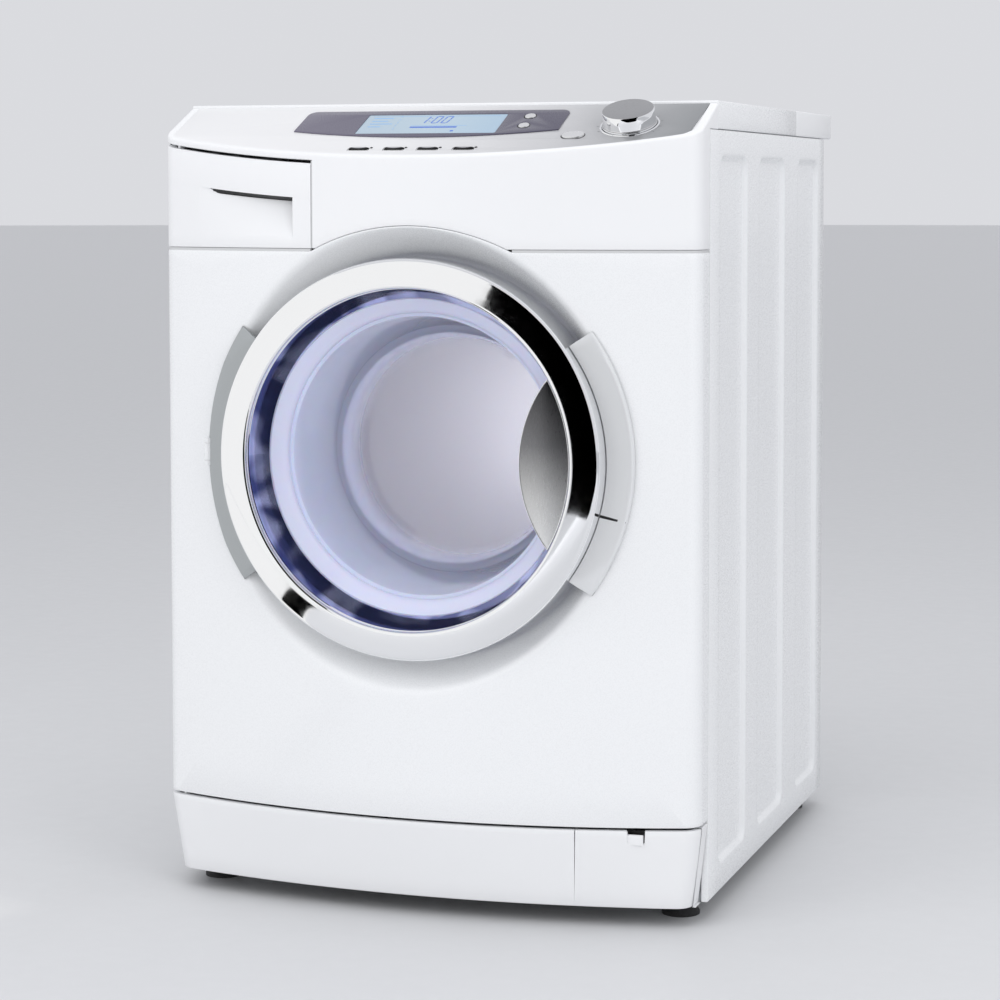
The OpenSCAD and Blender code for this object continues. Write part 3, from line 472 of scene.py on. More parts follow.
def arc(cx, cy, r, start, stop, count):
    """Points on a circle between two angles in degrees, ends included."""
    return [(cx + r * math.cos(math.radians(start + (stop - start) * i / count)),
             cy + r * math.sin(math.radians(start + (stop - start) * i / count)))
            for i in range(count + 1)]


def curve3(a, b, c, count):
    """Points of a quadratic curve from a to c, pulled towards b."""
    out = []
    for i in range(count + 1):
        t = i / count
        out.append(tuple((1 - t) ** 2 * p + 2 * t * (1 - t) * q + t * t * s
                         for p, q, s in zip(a, b, c)))
    return out


def bow_h(x):
    """How far the bowed front stands ahead of the frame's origin at x."""
    return -(BOW_APEX + BOW_R) + math.sqrt(BOW_R * BOW_R - x * x)


def bow_path(rear_y, stations=40, r=BOW_R, apex=BOW_APEX, w=2 * HALF_W, keep=()):
    """Points and outward normals (x, y, nx, ny) of the bowed front, from left to right."""
    cy = apex + r
    cx = w / 2 - CORNER_R
    ccy = cy - math.sqrt((r - CORNER_R) ** 2 - cx * cx)
    turn = math.atan2(ccy - cy, cx)
    end = r * math.cos(turn)
    xs = [end * i / stations for i in range(-stations, stations + 1)]
    xs = sorted(set(xs) | {x for x in keep if abs(x) < end - 0.01})
    bow = [(x, cy - math.sqrt(r * r - x * x), x / r, -math.sqrt(r * r - x * x) / r) for x in xs]
    corner = []
    for i in range(1, 11):
        a = turn * (1 - i / 10)
        corner.append((cx + CORNER_R * math.cos(a), ccy + CORNER_R * math.sin(a),
                       math.cos(a), math.sin(a)))
    side = [(w / 2, ccy + (rear_y - ccy) * t, 1.0, 0.0) for t in (0.25, 1.0)]
    right = corner + side
    left = [(-x, y, -nx, ny) for x, y, nx, ny in reversed(right)]
    return left + bow + right


def inset(point, d, z):
    """A point of bow_path at height z, moved inwards by d."""
    return (point[0] - point[2] * d, point[1] - point[3] * d, z)


def slope_z(y):
    """Height of the control slope at y."""
    return SLOPE_Z + TAN * (y - BOW_APEX)


def slope_matrix():
    return (Matrix.Translation((0, BOW_APEX * MM, SLOPE_Z * MM))
            @ Matrix.Rotation(math.radians(SLOPE_DEG), 4, "X"))


def on_slope(x, v, lift):
    """A point at x and v up the control slope, lifted square off it."""
    return (x, BOW_APEX + v * COS - lift * SIN, SLOPE_Z + v * SIN + lift * COS)


def round_box(x0, v0, x1, v1, r, count=6):
    """Outline of a box with rounded corners."""
    return (arc(x1 - r, v1 - r, r, 0, 90, count) + arc(x0 + r, v1 - r, r, 90, 180, count)
            + arc(x0 + r, v0 + r, r, 180, 270, count) + arc(x1 - r, v0 + r, r, 270, 360, count))


def circle(x, v, r, count=48):
    return [(x + r * math.cos(2 * math.pi * i / count), v + r * math.sin(2 * math.pi * i / count))
            for i in range(count)]


def plate(name, outline, holes, low, high, edge, material, body, place=None, replaces=(),
          angle=32):
    """A flat plate with rounded edges and holes, from closed outlines."""
    data = bpy.data.curves.new(name, "CURVE")
    data.dimensions = "2D"
    data.fill_mode = "BOTH"
    data.extrude = ((high - low) / 2 - edge) * MM
    data.bevel_depth = edge * MM
    data.bevel_resolution = 2
    data.offset = -edge * MM
    for points in [outline, *holes]:
        spline = data.splines.new("POLY")
        spline.points.add(len(points) - 1)
        for target, (x, v) in zip(spline.points, points):
            target.co = (x * MM, v * MM, 0, 1)
        spline.use_cyclic_u = True
    holder = bpy.data.objects.new(name + "_outline", data)
    bpy.context.scene.collection.objects.link(holder)
    bpy.context.view_layer.update()
    graph = bpy.context.evaluated_depsgraph_get()
    mesh = bpy.data.meshes.new_from_object(holder.evaluated_get(graph))
    mesh.name = name
    bpy.data.objects.remove(holder)
    bpy.data.curves.remove(data)
    mesh.transform(Matrix.Translation((0, 0, (low + high) / 2 * MM)))
    mesh.transform(place if place is not None else slope_matrix())
    bm = bmesh.new()
    bm.from_mesh(mesh)
    bmesh.ops.remove_doubles(bm, verts=bm.verts, dist=0.000005)
    bm.to_mesh(mesh)
    bm.free()
    mesh.materials.clear()
    return add_piece(name, mesh, material, body, replaces, angle)


# ---- front panel with its dished opening ----

def dish_rim(angle):
    """Radius and depth where the dish's cone meets the bow."""
    r = 225.0
    for _ in range(30):
        h = bow_h(r * math.cos(angle))
        r = DISH_FLOOR_R + (h - DISH_FLOOR_H) * (DISH_R - DISH_FLOOR_R) / (-BOW_APEX - DISH_FLOOR_H)
    return r, bow_h(r * math.cos(angle))


def make_front_panel():
    """Enamelled sheet: spokes from the porthole outwards, then strips round the corners."""
    end_x = BOW_R * math.cos(math.atan2(CORNER_DY, CORNER_X))
    top = PANEL_Z1 - 1.5 - DOOR_Z
    bottom = DOOR_Z - PANEL_Z0 - 1.5
    angles = {2 * math.pi * i / 240 for i in range(240)}
    for x in (end_x, -end_x):
        for z in (top, -bottom):
            angles.add(math.atan2(z, x) % (2 * math.pi))
    lobe = math.asin(top / EYEBROW_R)
    angles |= {lobe, math.pi - lobe}
    shape = Shape()
    spokes = []
    seam = {1: set(), -1: set()}
    slope = (DISH_R - DISH_FLOOR_R) / (-BOW_APEX - DISH_FLOOR_H)
    ease_in = 7.0
    floor_r, floor_h = DISH_FLOOR_R, DISH_FLOOR_H
    foot = (floor_r + 4 * slope, floor_h + 4)
    for a in sorted(angles):
        c, s = math.cos(a), math.sin(a)
        limits = [end_x / abs(c) if abs(c) > 1e-9 else 1e9]
        limits.append((top / s) if s > 1e-9 else (bottom / -s if s < -1e-9 else 1e9))
        reach = min(limits)
        on_side = limits[0] <= limits[1] + 1e-6
        outer = max(EYEBROW_R, reach) if s > 0 else reach
        rim, rim_h = dish_rim(a)
        ease_out = min(ease_in, outer - 0.4 - rim)
        stations = [(PORTHOLE_R, 277.0), (PORTHOLE_R, 288.5)]
        stations += curve3((PORTHOLE_R, 289.5), (PORTHOLE_R, floor_h), (170.5, floor_h), 3)
        stations += [(180.0, floor_h), (195.0, floor_h)]
        stations += curve3((205.5, floor_h), (floor_r, floor_h), foot, 4)
        low_r = rim - ease_in * slope
        low_h = rim_h - ease_in
        stations.append(((foot[0] + low_r) / 2, (foot[1] + low_h) / 2))
        far_r = rim + ease_out
        stations += curve3((low_r, low_h), (rim, rim_h), (far_r, bow_h(far_r * c)), 6)
        for t in (0.12, 0.3, 0.52, 0.76, 1.0):
            r = far_r + (outer - far_r) * t
            stations.append((r, bow_h(r * c)))
        spoke = [(r * c, -h, DOOR_Z + r * s) for r, h in stations]
        x, y, z = spoke[-1]
        nx, ny = x / BOW_R, -math.sqrt(BOW_R ** 2 - x * x) / BOW_R
        if outer > reach + 1e-6:
            tail = [(0.45, 0.5), (1.2, 0.8), (8.0, 0.8)]
            spoke += [(x - nx * d + c * g, y - ny * d, z + s * g) for d, g in tail]
        elif not on_side or abs(limits[0] - limits[1]) < 1e-6:
            up = 1 if s > 0 else -1
            tail = [(0.45, 1.05), (1.5, 1.5), (9.0, 1.5)]
            spoke += [(x - nx * d, y - ny * d, z + up * g) for d, g in tail]
        if on_side:
            seam[1 if c > 0 else -1].add(round(z, 6))
            if abs(limits[0] - limits[1]) >= 1e-6:
                spoke += [spoke[-1]] * 3
        spokes.append(spoke)
    shape.grid(spokes, around=True)
    # Corner strips that run on from the spokes' ends.
    path = [p for p in bow_path(BACK_Y) if p[0] >= end_x - 0.001]
    tail = [(9.0, 1.5), (1.5, 1.5), (0.45, 1.05)]
    for side in (1, -1):
        heights = sorted(seam[side])
        columns = []
        for p in path:
            q = (p[0] * side, p[1], p[2] * side, p[3])
            column = [inset(q, d, heights[0] - g) for d, g in tail]
            column += [inset(q, 0, z) for z in heights]
            column += [inset(q, d, heights[-1] + g) for d, g in reversed(tail)]
            columns.append(column)
        shape.grid(columns)
    piece("front_panel_sheet", shape, ENAMEL, "cabinet", ["front_panel"],
          facing=(0, -1, 0))


make_front_panel()


# ---- control fascia ----

def fascia_bottom(x):
    """Lower edge of the fascia, which arches over the door."""
    reach = EYEBROW_R + 1.2
    if abs(x) < reach:
        return max(FASCIA_Z, DOOR_Z + math.sqrt(reach * reach - x * x))
    return FASCIA_Z


def border(point):
    """Width of the white border between the panel's edge and its overlay."""
    edge = abs(point[0])
    if edge < 270:
        return 4.4
    t = min(1.0, (edge - 270) / 24)
    return 4.4 + 4.4 * t * t * (3 - 2 * t)


def lip_top(point):
    """Rounded edge from the upright face on to the slope, then down into the overlay's bed."""
    x, y = point[0], point[1]
    z = slope_z(y)
    wide = border(point)
    rear = SLOPE_REAR_Y
    out = curve3((x, y, z - 3.0), (x, y, z),
                 (x - point[2] * 2.4, y - point[3] * 2.4,
                  slope_z(min(y - point[3] * 2.4, rear))), 5)
    for d, drop in ((wide - 0.3, 0.0), (wide, 0.3), (wide, 1.3), (wide + 9.0, 1.3)):
        yy = y - point[3] * d
        out.append((x - point[2] * d, yy, slope_z(yy) - drop))
    return out


def make_fascia():
    """Fascia shell: upright face, lip over the drawer, cheeks and the return beside it."""
    shape = Shape()
    crest = math.sqrt((EYEBROW_R + 1.2) ** 2 - (FASCIA_Z - DOOR_Z) ** 2)
    full = bow_path(BACK_Y, stations=60, keep=(FASCIA_X0, FASCIA_X0 - 3, crest, -crest))
    band = [p for p in full if p[0] >= FASCIA_X0 - 0.001]
    columns = []
    for p in band:
        low = fascia_bottom(p[0])
        high = slope_z(p[1]) - 3.0
        column = [inset(p, 8.0, low), inset(p, 1.2, low), inset(p, 0.35, low + 0.35),
                  inset(p, 0, low + 1.2)]
        for t in (0.1, 0.3, 0.5, 0.7, 0.9):
            column.append(inset(p, 0, low + 1.2 + (high - low - 1.2) * t))
        column += lip_top(p)
        columns.append(column)
    first = columns[0]
    lead = [[(x, y + d, z) for x, y, z in first] for d in (8.0, 1.0)]
    columns = lead + columns
    shape.grid(columns)
    # Lip over the drawer.
    lip = [p for p in full if p[0] <= FASCIA_X0 + 0.001]
    columns = []
    for p in lip:
        low = slope_z(p[1]) - 6.4
        column = [inset(p, 30.0, low), inset(p, 0.8, low), inset(p, 0, low + 0.8)]
        column += lip_top(p)
        columns.append(column)
    shape.grid(columns)
    # Cheeks over the side panels, and the fixed return beside the drawer.
    for side in (-1, 1):
        columns = []
        for y in (BACK_Y, -240.0, SLOPE_REAR_Y):
            p = (side * HALF_W, y, side * 1.0, 0.0)
            low = SIDE_TOP_Z + 0.3
            high = slope_z(y) - 3.0
            column = [inset(p, 4.0, low), inset(p, 0.5, low), inset(p, 0, low + 0.5),
                      inset(p, 0, low + (high - low) * 0.6)]
            column += lip_top(p)
            columns.append(column)
        shape.grid(columns)
    post = []
    for y in (-274.6, -268.0, BACK_Y):
        p = (-HALF_W, y, -1.0, 0.0)
        low = slope_z(y) - 6.4
        post.append([inset(p, 6.0, FASCIA_Z), inset(p, 0.5, FASCIA_Z), inset(p, 0, FASCIA_Z + 0.5),
                     inset(p, 0, 760.0), inset(p, 0, low + 0.8)])
    shape.grid(post)
    piece("fascia_shell", shape, PLASTIC, "cabinet", ["control_fascia"],
          facing=(0, -1, 0))


make_fascia()


def make_seams():
    """Grey strips set back in the joints under the fascia and beside the drawer."""
    crest = math.sqrt(EYEBROW_R ** 2 - (PANEL_Z1 - DOOR_Z) ** 2) + 2.0
    path = bow_path(BACK_Y, 40, keep=(crest, -crest))
    shape = Shape()
    for side in (-1, 1):
        rows = []
        for p in path:
            if p[0] * side >= crest - 0.001:
                rows.append([inset(p, 1.1, PANEL_Z1 - 0.3), inset(p, 1.1, FASCIA_Z - 0.4),
                             inset(p, 5.0, FASCIA_Z - 0.4), inset(p, 5.0, PANEL_Z1 - 0.3)])
        shape.cap(shape.grid(rows, closed=True))
    x = (DRAWER_X1 + FASCIA_X0) / 2
    front = BOW_APEX + BOW_R - math.sqrt(BOW_R ** 2 - x * x)
    high = slope_z(front) - 6.8
    corners = [(x - 0.7, front + 0.8), (x + 0.95, front + 0.8), (x + 0.95, front + 5),
               (x - 0.7, front + 5)]
    shape.prism([(cx, cy, FASCIA_Z + 0.4) for cx, cy in corners],
                [(cx, cy, high) for cx, cy in corners])
    piece("fascia_seams", shape, SEAM, "cabinet")


make_seams()


def overlay_front(x):
    """Front edge of the silver overlay, 4.5 mm behind the panel's."""
    edge = BOW_R * COS
    return edge - math.sqrt((edge - 4.5) ** 2 - x * x)


OPTION_XS = (-60.0, -21.0, 16.0, 55.0)
OPTION_V = 19.0
ROUND_X = 103.5
ROUND_VS = (100.0, 75.5)
START = (163.5, 51.0)
KNOB = (217.0, 77.0)
LCD_BOX = (-78.0, 57.0, 77.0, 107.0)


def panel_holes(grow):
    """Outlines of the seven buttons, grown by a clearance."""
    holes = [round_box(x - 11 - grow, OPTION_V - 2.5 - grow, x + 11 + grow, OPTION_V + 2.5 + grow,
                       2.45 + grow, 5) for x in OPTION_XS]
    holes += [circle(ROUND_X, v, 6 + grow, 32) for v in ROUND_VS]
    holes.append(round_box(START[0] - 12 - grow, START[1] - 8 - grow, START[0] + 12 + grow,
                           START[1] + 8 + grow, 7.9 + grow, 8))
    return holes


def make_overlay():
    left, right = -288.6, 288.6
    outline = [(right, 132.6), (left, 132.6)]
    low = overlay_front(left)
    outline += curve3((left, low + 8), (left, low), (left + 7, overlay_front(left + 7)), 6)
    for i in range(1, 60):
        x = left + 7 + (right - 12 - left - 7) * i / 60
        outline.append((x, overlay_front(x)))
    x = right - 14
    outline += curve3((x, overlay_front(x)), (right - 3.6, overlay_front(right - 3.6) - 0.5),
                      (right - 3.4, overlay_front(right) + 10), 8)
    holes = panel_holes(0.5) + [circle(KNOB[0], KNOB[1], 20, 48)]
    holes.append(round_box(LCD_BOX[0] - 1, LCD_BOX[1] - 1, LCD_BOX[2] + 1, LCD_BOX[3] + 1, 2))
    plate("overlay_skin", outline, holes, -0.9, 0.02, 0.1, OVERLAY, "cabinet",
          replaces=["control_overlay"])


make_overlay()


def bezel_front(x):
    """Curved front edge of the display's bezel."""
    return 695.0 - math.sqrt(647.0 ** 2 - (x + 3) ** 2)


def make_bezel():
    outline = []
    for x, v in round_box(-150.0, 48.0, 144.0, 117.0, 10, 8):
        outline.append((x, max(v, bezel_front(x))))
    low = []
    for i in range(1, 40):
        x = -140 + 274 * i / 40
        low.append((x, bezel_front(x)))
    outline = [p for p in outline if not (p[1] < 70 and -139 < p[0] < 133)]
    split = next(i for i, p in enumerate(outline) if p[0] > 0 and p[1] < 80)
    outline = outline[:split] + low + outline[split:]
    holes = [circle(ROUND_X, v, 6.5, 32) for v in ROUND_VS]
    holes.append(round_box(LCD_BOX[0] - 0.2, LCD_BOX[1] - 0.2, LCD_BOX[2] + 0.2,
                           LCD_BOX[3] + 0.2, 2))
    plate("bezel_cover", outline, holes, 0.03, 1.2, 0.25, AUBERGINE, "cabinet",
          replaces=["display_bezel"])


make_bezel()


def make_display():
    """Display window with a generic time and generic bars."""
    plate("lcd_glass", round_box(*LCD_BOX, 2), [], -2.0, 0.8, 0.15, LCD, "cabinet",
          replaces=["lcd_screen"])
    ink = Shape()
    pale = Shape()

    def bar(shape, x0, v0, x1, v1, skew=0.18):
        corners = [(x0, v0), (x1, v0), (x1, v1), (x0, v1)]
        low, top = ([on_slope(x + (v - 82) * skew, v, lift) for x, v in corners]
                    for lift in (0.8, 0.86))
        shape.prism(low, top, foot=False)

    segments = {"0": "abcdef", "1": "bc"}
    spots = {"a": (0.9, 17.2, 6.1, 18.6), "b": (6.0, 9.6, 7.4, 17.4), "c": (6.0, 1.0, 7.4, 8.6),
             "d": (0.9, 0.0, 6.1, 1.4), "e": (-0.4, 1.0, 1.0, 8.6), "f": (-0.4, 9.6, 1.0, 17.4)}
    for at, digit in ((-17.0, "1"), (-3.0, "0"), (8.0, "0")):
        for key in segments[digit]:
            x0, v0, x1, v1 = spots[key]
            bar(ink, at + x0, 84 + v0, at + x1, 84 + v1)
    bar(ink, -7.4, 89.0, -6.0, 90.6)
    bar(ink, -7.4, 95.5, -6.0, 97.1)
    bar(ink, -22, 72.0, 30, 75.4, 0)
    bar(pale, -22, 77.4, 40, 78.2, 0)
    bar(ink, 26, 62.0, 29.5, 65.0, 0)
    for i, (x0, x1) in enumerate(((-70, -48), (-70, -52), (-70, -45), (-70, -56))):
        bar(pale, x0, 97 - i * 7.5, x1, 99 - i * 7.5, 0)
    for i in range(5):
        bar(pale, -40, 100 - i * 8, -39.4, 105 - i * 8, 0)
    bar(pale, -72, 102.5, 70, 103.1, 0)
    piece("lcd_digits", ink, LCD_INK, "cabinet")
    piece("lcd_marks", pale, LCD_PALE, "cabinet")


make_display()


def dome(name, x, v, w, h, top, rise, body, node):
    """A raised button with a rounded crown, standing in its hole on the slope."""
    shape = Shape()
    rows = []
    for d, lift in ((0, -9.0), (0, top - rise), (0.25, top - rise * 0.55), (0.7, top - rise * 0.2),
                    (1.3, top), (h * 0.3, top + 0.12), (h * 0.42, top + 0.16)):
        r = max(min(w, h) / 2 - d - 0.02, 0.05)
        rows.append([on_slope(px, pv, lift) for px, pv in
                     round_box(x - w / 2 + d, v - h / 2 + d, x + w / 2 - d, v + h / 2 - d, r, 8)])
    shape.cap(shape.grid(rows, closed=True)[::-1])
    piece(name, shape, BUTTON, body, [node])


def key_outline(x, d):
    """Crescent outline of a key: straight at the back and bowed at the front."""
    end = 11 - d * 1.8
    top = 2.45 - d * 0.4
    low = -2.45 + d
    front = curve3((-end, top - 0.7), (0, 2 * low - top + 0.7), (end, top - 0.7), 14)
    front += [(end - 0.5, top), (0.5 - end, top)]
    return [(x + px, OPTION_V + pv) for px, pv in front]


def option_key(number, x):
    """A slim key whose front, painted black as shade, slopes up to a narrow silver top."""
    shape = Shape()
    rows = []
    for d, lift in ((0, -9.0), (0, 0.4), (0.25, 0.8), (1.25, 1.4), (1.5, 1.55)):
        rows.append([on_slope(px, pv, lift) for px, pv in key_outline(x, d)])
    shape.cap(shape.grid(rows, closed=True)[::-1])
    key = piece(f"option_key_{number}", shape, OPTION, f"option_{number}",
                [f"option_button_{number}"])
    # Every face but the top near the crest is black: painted shade on the key's front and sides.
    key.data.materials.append(BLACK)
    crest = max(face.center.z for face in key.data.polygons)
    for face in key.data.polygons:
        if face.normal.z < 0.8 or face.center.z < crest - 0.004:
            face.material_index = 1


for number, at in enumerate(OPTION_XS, 1):
    option_key(number, at)
dome("reset_key", ROUND_X, ROUND_VS[0], 12, 12, 2.3, 1.3, "reset", "reset_button")
dome("delay_key", ROUND_X, ROUND_VS[1], 12, 12, 2.3, 1.3, "delay", "delay_button")
dome("start_key", START[0], START[1], 24, 16, 2.2, 1.2, "start", "start_button")


def make_panel_marks():
    """Black wells of painted shadow round the keys, small lamps, and tick marks round the knob."""
    wells = Shape()
    # Each well: place, size, lift, width of its flat rim, corner radius. The option keys' wells
    # stand clear of the keys, which slide down past them.
    keys = [(x, OPTION_V - 0.65, 22, 5.5, 0.06, 0.4, 1.3) for x in OPTION_XS]
    keys += [(ROUND_X, v - 0.4, 12, 12, 1.26, 1.3, 6.7) for v in ROUND_VS]
    keys.append((START[0], START[1] - 0.5, 24, 16, 0.06, 1.3, 8.7))
    for x, v, w, h, lift, wide, corner in keys:
        rows = []
        for d, rise in ((wide, -6.0), (wide, -0.04), (0.0, 0.0), (-0.1, -0.26)):
            rows.append([on_slope(px, pv, lift + rise) for px, pv in
                         round_box(x - w / 2 - 0.9 + d, v - h / 2 - 0.9 + d, x + w / 2 + 0.9 - d,
                                   v + h / 2 + 0.9 - d, corner - d, 8)])
        wells.grid(rows, closed=True)
    # The wells are black: painted shadow round the keys.
    piece("key_painted_shadow", wells, BLACK, "cabinet")
    lamps = Shape()
    for x in (-46.6, -8.5, 29.2, 67.9):
        rows = [[on_slope(px, pv, lift) for px, pv in circle(x, 22.0, r, 20)]
                for r, lift in ((1.5, -0.5), (1.5, 0.2), (1.2, 0.5), (0.6, 0.68))]
        made = lamps.grid(rows, closed=True)
        lamps.faces.append(tuple(made[-1]))
    piece("key_lamps", lamps, BLACK, "cabinet")
    ticks = Shape()
    for i in range(11):
        a = math.radians(-30 + 24 * i)
        c, s = math.cos(a), math.sin(a)
        corners = []
        for r, w in ((32.0, -0.35), (34.6, -0.35), (34.6, 0.35), (32.0, 0.35)):
            corners.append((KNOB[0] + r * c - w * s, KNOB[1] + r * s + w * c))
        low, top = ([on_slope(x, v, lift) for x, v in corners] for lift in (0.0, 0.06))
        ticks.prism(low, top, foot=False)
    piece("knob_ticks", ticks, GREY, "cabinet")


make_panel_marks()


def make_knob():
    """Turned knob with a slanting finger scoop and a polished skirt."""
    place = slope_matrix() @ Matrix.Translation((KNOB[0] * MM, KNOB[1] * MM, 0))
    profile = [(3, -11), (3, 0.6), (28.3, 0.6), (28.5, 1.0), (28.5, 2.2), (27.9, 2.8),
               (27.4, 3.2), (27.2, 9), (27.0, 16.6), (26.4, 17.7), (25.4, 18.05), (12, 18.1)]
    mesh = lathe(profile, 128, axis="z", closed=False).mesh("knob_body")
    bm = bmesh.new()
    bm.from_mesh(mesh)
    rims = [e for e in bm.edges if e.is_boundary]
    bmesh.ops.holes_fill(bm, edges=rims)
    lean = math.radians(38)
    normal = Vector((0, -math.sin(lean), math.cos(lean)))
    foot = Vector((0, -42.5 * MM, 7.6 * MM))
    parts = bm.verts[:] + bm.edges[:] + bm.faces[:]
    cut = bmesh.ops.bisect_plane(bm, geom=parts, plane_co=foot, plane_no=normal,
                                 clear_outer=True)
    edges = [g for g in cut["geom_cut"] if isinstance(g, bmesh.types.BMEdge)]
    bmesh.ops.holes_fill(bm, edges=edges)
    bmesh.ops.recalc_face_normals(bm, faces=bm.faces)
    bm.to_mesh(mesh)
    bm.free()
    mesh.transform(place)
    knob = add_piece("knob_body", mesh, CHROME, "knob", ["program_knob"],
                     bevel=0.35)
    knob.data.materials.append(KNOB_TOP)
    up = (slope_matrix().to_3x3() @ Vector((0, 0, 1))).normalized()
    for face in knob.data.polygons:
        if face.normal.dot(up) > 0.6:
            face.material_index = 1
    ring = lathe([(29.0, 0.05), (31.2, 0.05), (31.2, 0.5), (30.6, 1.1), (29.6, 1.1), (29.0, 0.6)],
                 128, axis="z")
    ring.points = [tuple(c / MM for c in place @ Vector([d * MM for d in p]))
                   for p in ring.points]
    piece("knob_ring", ring, CHROME, "cabinet")


make_knob()


# ---- worktop ----

def soft_box(name, low, high, edge, material, replaces):
    """A slab of the worktop with rounded edges, between two opposite corners."""
    corners = [(low[0], low[1]), (high[0], low[1]), (high[0], high[1]), (low[0], high[1])]
    shape = Shape()
    shape.prism([(x, y, low[2]) for x, y in corners], [(x, y, high[2]) for x, y in corners])
    piece(name, shape, material, "cabinet", replaces, bevel=edge)


soft_box("worktop_panel", (-HALF_W, SLOPE_REAR_Y + 0.6, SIDE_TOP_Z + 0.8), (HALF_W, 155.8, TOP_Z),
         1.8, ENAMEL, ["top_panel"])
soft_box("worktop_rear_trim", (-HALF_W, 156.6, SIDE_TOP_Z + 0.8), (HALF_W, 353.0, TOP_Z), 1.8,
         PLASTIC, ["top_rear_trim"])


# ---- side panels ----

RECESSES = ((-211.0, -89.0), (-33.0, 94.0), (163.0, 277.0))
RECESS_Z = (48.0, 794.0)


def recess_at(y, z):
    """Depth of the pressed recesses of a side panel at (y, z)."""
    depth = 0.0
    r = 16.0
    for y0, y1 in RECESSES:
        qy = abs(y - (y0 + y1) / 2) - ((y1 - y0) / 2 - r)
        qz = abs(z - (RECESS_Z[0] + RECESS_Z[1]) / 2) - ((RECESS_Z[1] - RECESS_Z[0]) / 2 - r)
        d = math.hypot(max(qy, 0), max(qz, 0)) + min(max(qy, qz), 0) - r
        t = max(0.0, min(1.0, -d / 6.0))
        depth = max(depth, 5.0 * t * t * (3 - 2 * t))
    return depth


def make_side(side, node):
    """A side panel with its three recesses: side is 1 for the right and -1 for the left."""
    near = (0, 0.8, 1.8, 3.0, 4.2, 5.2, 6.0, 7.5, 10, 13, 16, 22)
    ys = {SIDE_FRONT_Y + 1.2, SIDE_REAR_Y - 1.2}
    for y0, y1 in RECESSES:
        ys |= {y0 - 3} | {y0 + d for d in near} | {y1 - d for d in near} | {y1 + 3}
        ys.add((y0 + y1) / 2)
    zs = {SKIRT_Z + 1.2, SIDE_TOP_Z - 1.6, 230.0, 420.0, 610.0}
    zs |= {RECESS_Z[0] - 3, RECESS_Z[1] + 3}
    zs |= {RECESS_Z[0] + d for d in near} | {RECESS_Z[1] - d for d in near}
    ys, zs = sorted(ys), sorted(zs)
    shape = Shape()
    columns = []
    for y in ys:
        column = [(HALF_W - recess_at(y, z), y, z) for z in zs]
        low, high = column[0], column[-1]
        column = [(HALF_W - 10, y, SKIRT_Z), (HALF_W - 1.2, y, SKIRT_Z),
                  (HALF_W - 0.35, y, SKIRT_Z + 0.35), low] + column[1:-1] + [
                      high, (HALF_W - 0.5, y, SIDE_TOP_Z - 0.5), (HALF_W - 1.6, y, SIDE_TOP_Z),
                      (HALF_W - 10, y, SIDE_TOP_Z)]
        columns.append(column)
    edges = []
    for y, end, turn in ((ys[0], SIDE_FRONT_Y, 1), (ys[-1], SIDE_REAR_Y, -1)):
        base = columns[0] if turn == 1 else columns[-1]
        edges.append([[(x - 0.35, end + 0.35 * turn, z) for x, _, z in base],
                      [(min(x, HALF_W) - 1.2, end, z) for x, _, z in base],
                      [(HALF_W - 7, end, z) for _, _, z in base]])
    columns = list(reversed(edges[0])) + columns + edges[1]
    columns = [[(x * side, y, z) for x, y, z in column] for column in columns]
    shape.grid(columns)
    piece(node + "_skin", shape, ENAMEL, "cabinet", [node], facing=(side, 0, 0))


make_side(1, "side_panel_right")
make_side(-1, "side_panel_left")


# ---- kick plate and filter flap ----

FLAP_X = 174.0


def kick_paths(keep):
    """The two bows of the kick plate, point for point: foot and top."""
    foot = bow_path(BACK_Y, 40, 1194.0, -321.0, 574.0, keep)
    top = bow_path(BACK_Y, 40, BOW_R, BOW_APEX, 2 * HALF_W, keep)
    return foot, top


def kick_columns(keep, choose):
    """Columns up the kick plate's face, at the stations that choose accepts."""
    foot, top = kick_paths(keep)
    columns = []
    for p, q in zip(foot, top):
        if not choose(q):
            continue

        def at(t, d, z=None, p=p, q=q):
            x = p[0] + (q[0] - p[0]) * t - (p[2] + (q[2] - p[2]) * t) * d
            y = p[1] + (q[1] - p[1]) * t - (p[3] + (q[3] - p[3]) * t) * d
            return (x, y, SKIRT_Z + (KICK_TOP_Z - SKIRT_Z) * t if z is None else z)

        column = [at(0, 7), at(0, 1.2), at(0.006, 0.35), at(0.016, 0)]
        column += [at(t, 0) for t in (0.2, 0.4, 0.6, 0.75)]
        notch = 1 - 13 / (KICK_TOP_Z - SKIRT_Z)
        column += [at(notch, 0), at(0.92, 0), at(0.984, 0), at(0.995, 0.35), at(1, 1.2), at(1, 7)]
        columns.append(column)
    return columns


def make_kick():
    """Kick plate left of the flap, and its return at the machine's right."""
    shape = Shape()
    columns = kick_columns((FLAP_X,), lambda q: q[0] <= FLAP_X + 0.001)
    last = columns[-1]
    columns += [[(x, y + d, z) for x, y, z in last] for d in (1.0, 7.0)]
    shape.grid(columns)
    # Return on the machine's right, behind the flap.
    tail = []
    for y in (-276.4, -268.0, BACK_Y):
        tail.append([(HALF_W - 7, y, SKIRT_Z), (287 - 0.5, y, SKIRT_Z), (287.6, y, SKIRT_Z + 1),
                     (HALF_W - 0.4, y, KICK_TOP_Z - 1.0), (HALF_W - 1.2, y, KICK_TOP_Z),
                     (HALF_W - 7, y, KICK_TOP_Z)])
    shape.grid(tail)
    piece("kick_cover", shape, PLASTIC, "cabinet", ["kick_plate"],
          facing=(0, -1, 0))


make_kick()


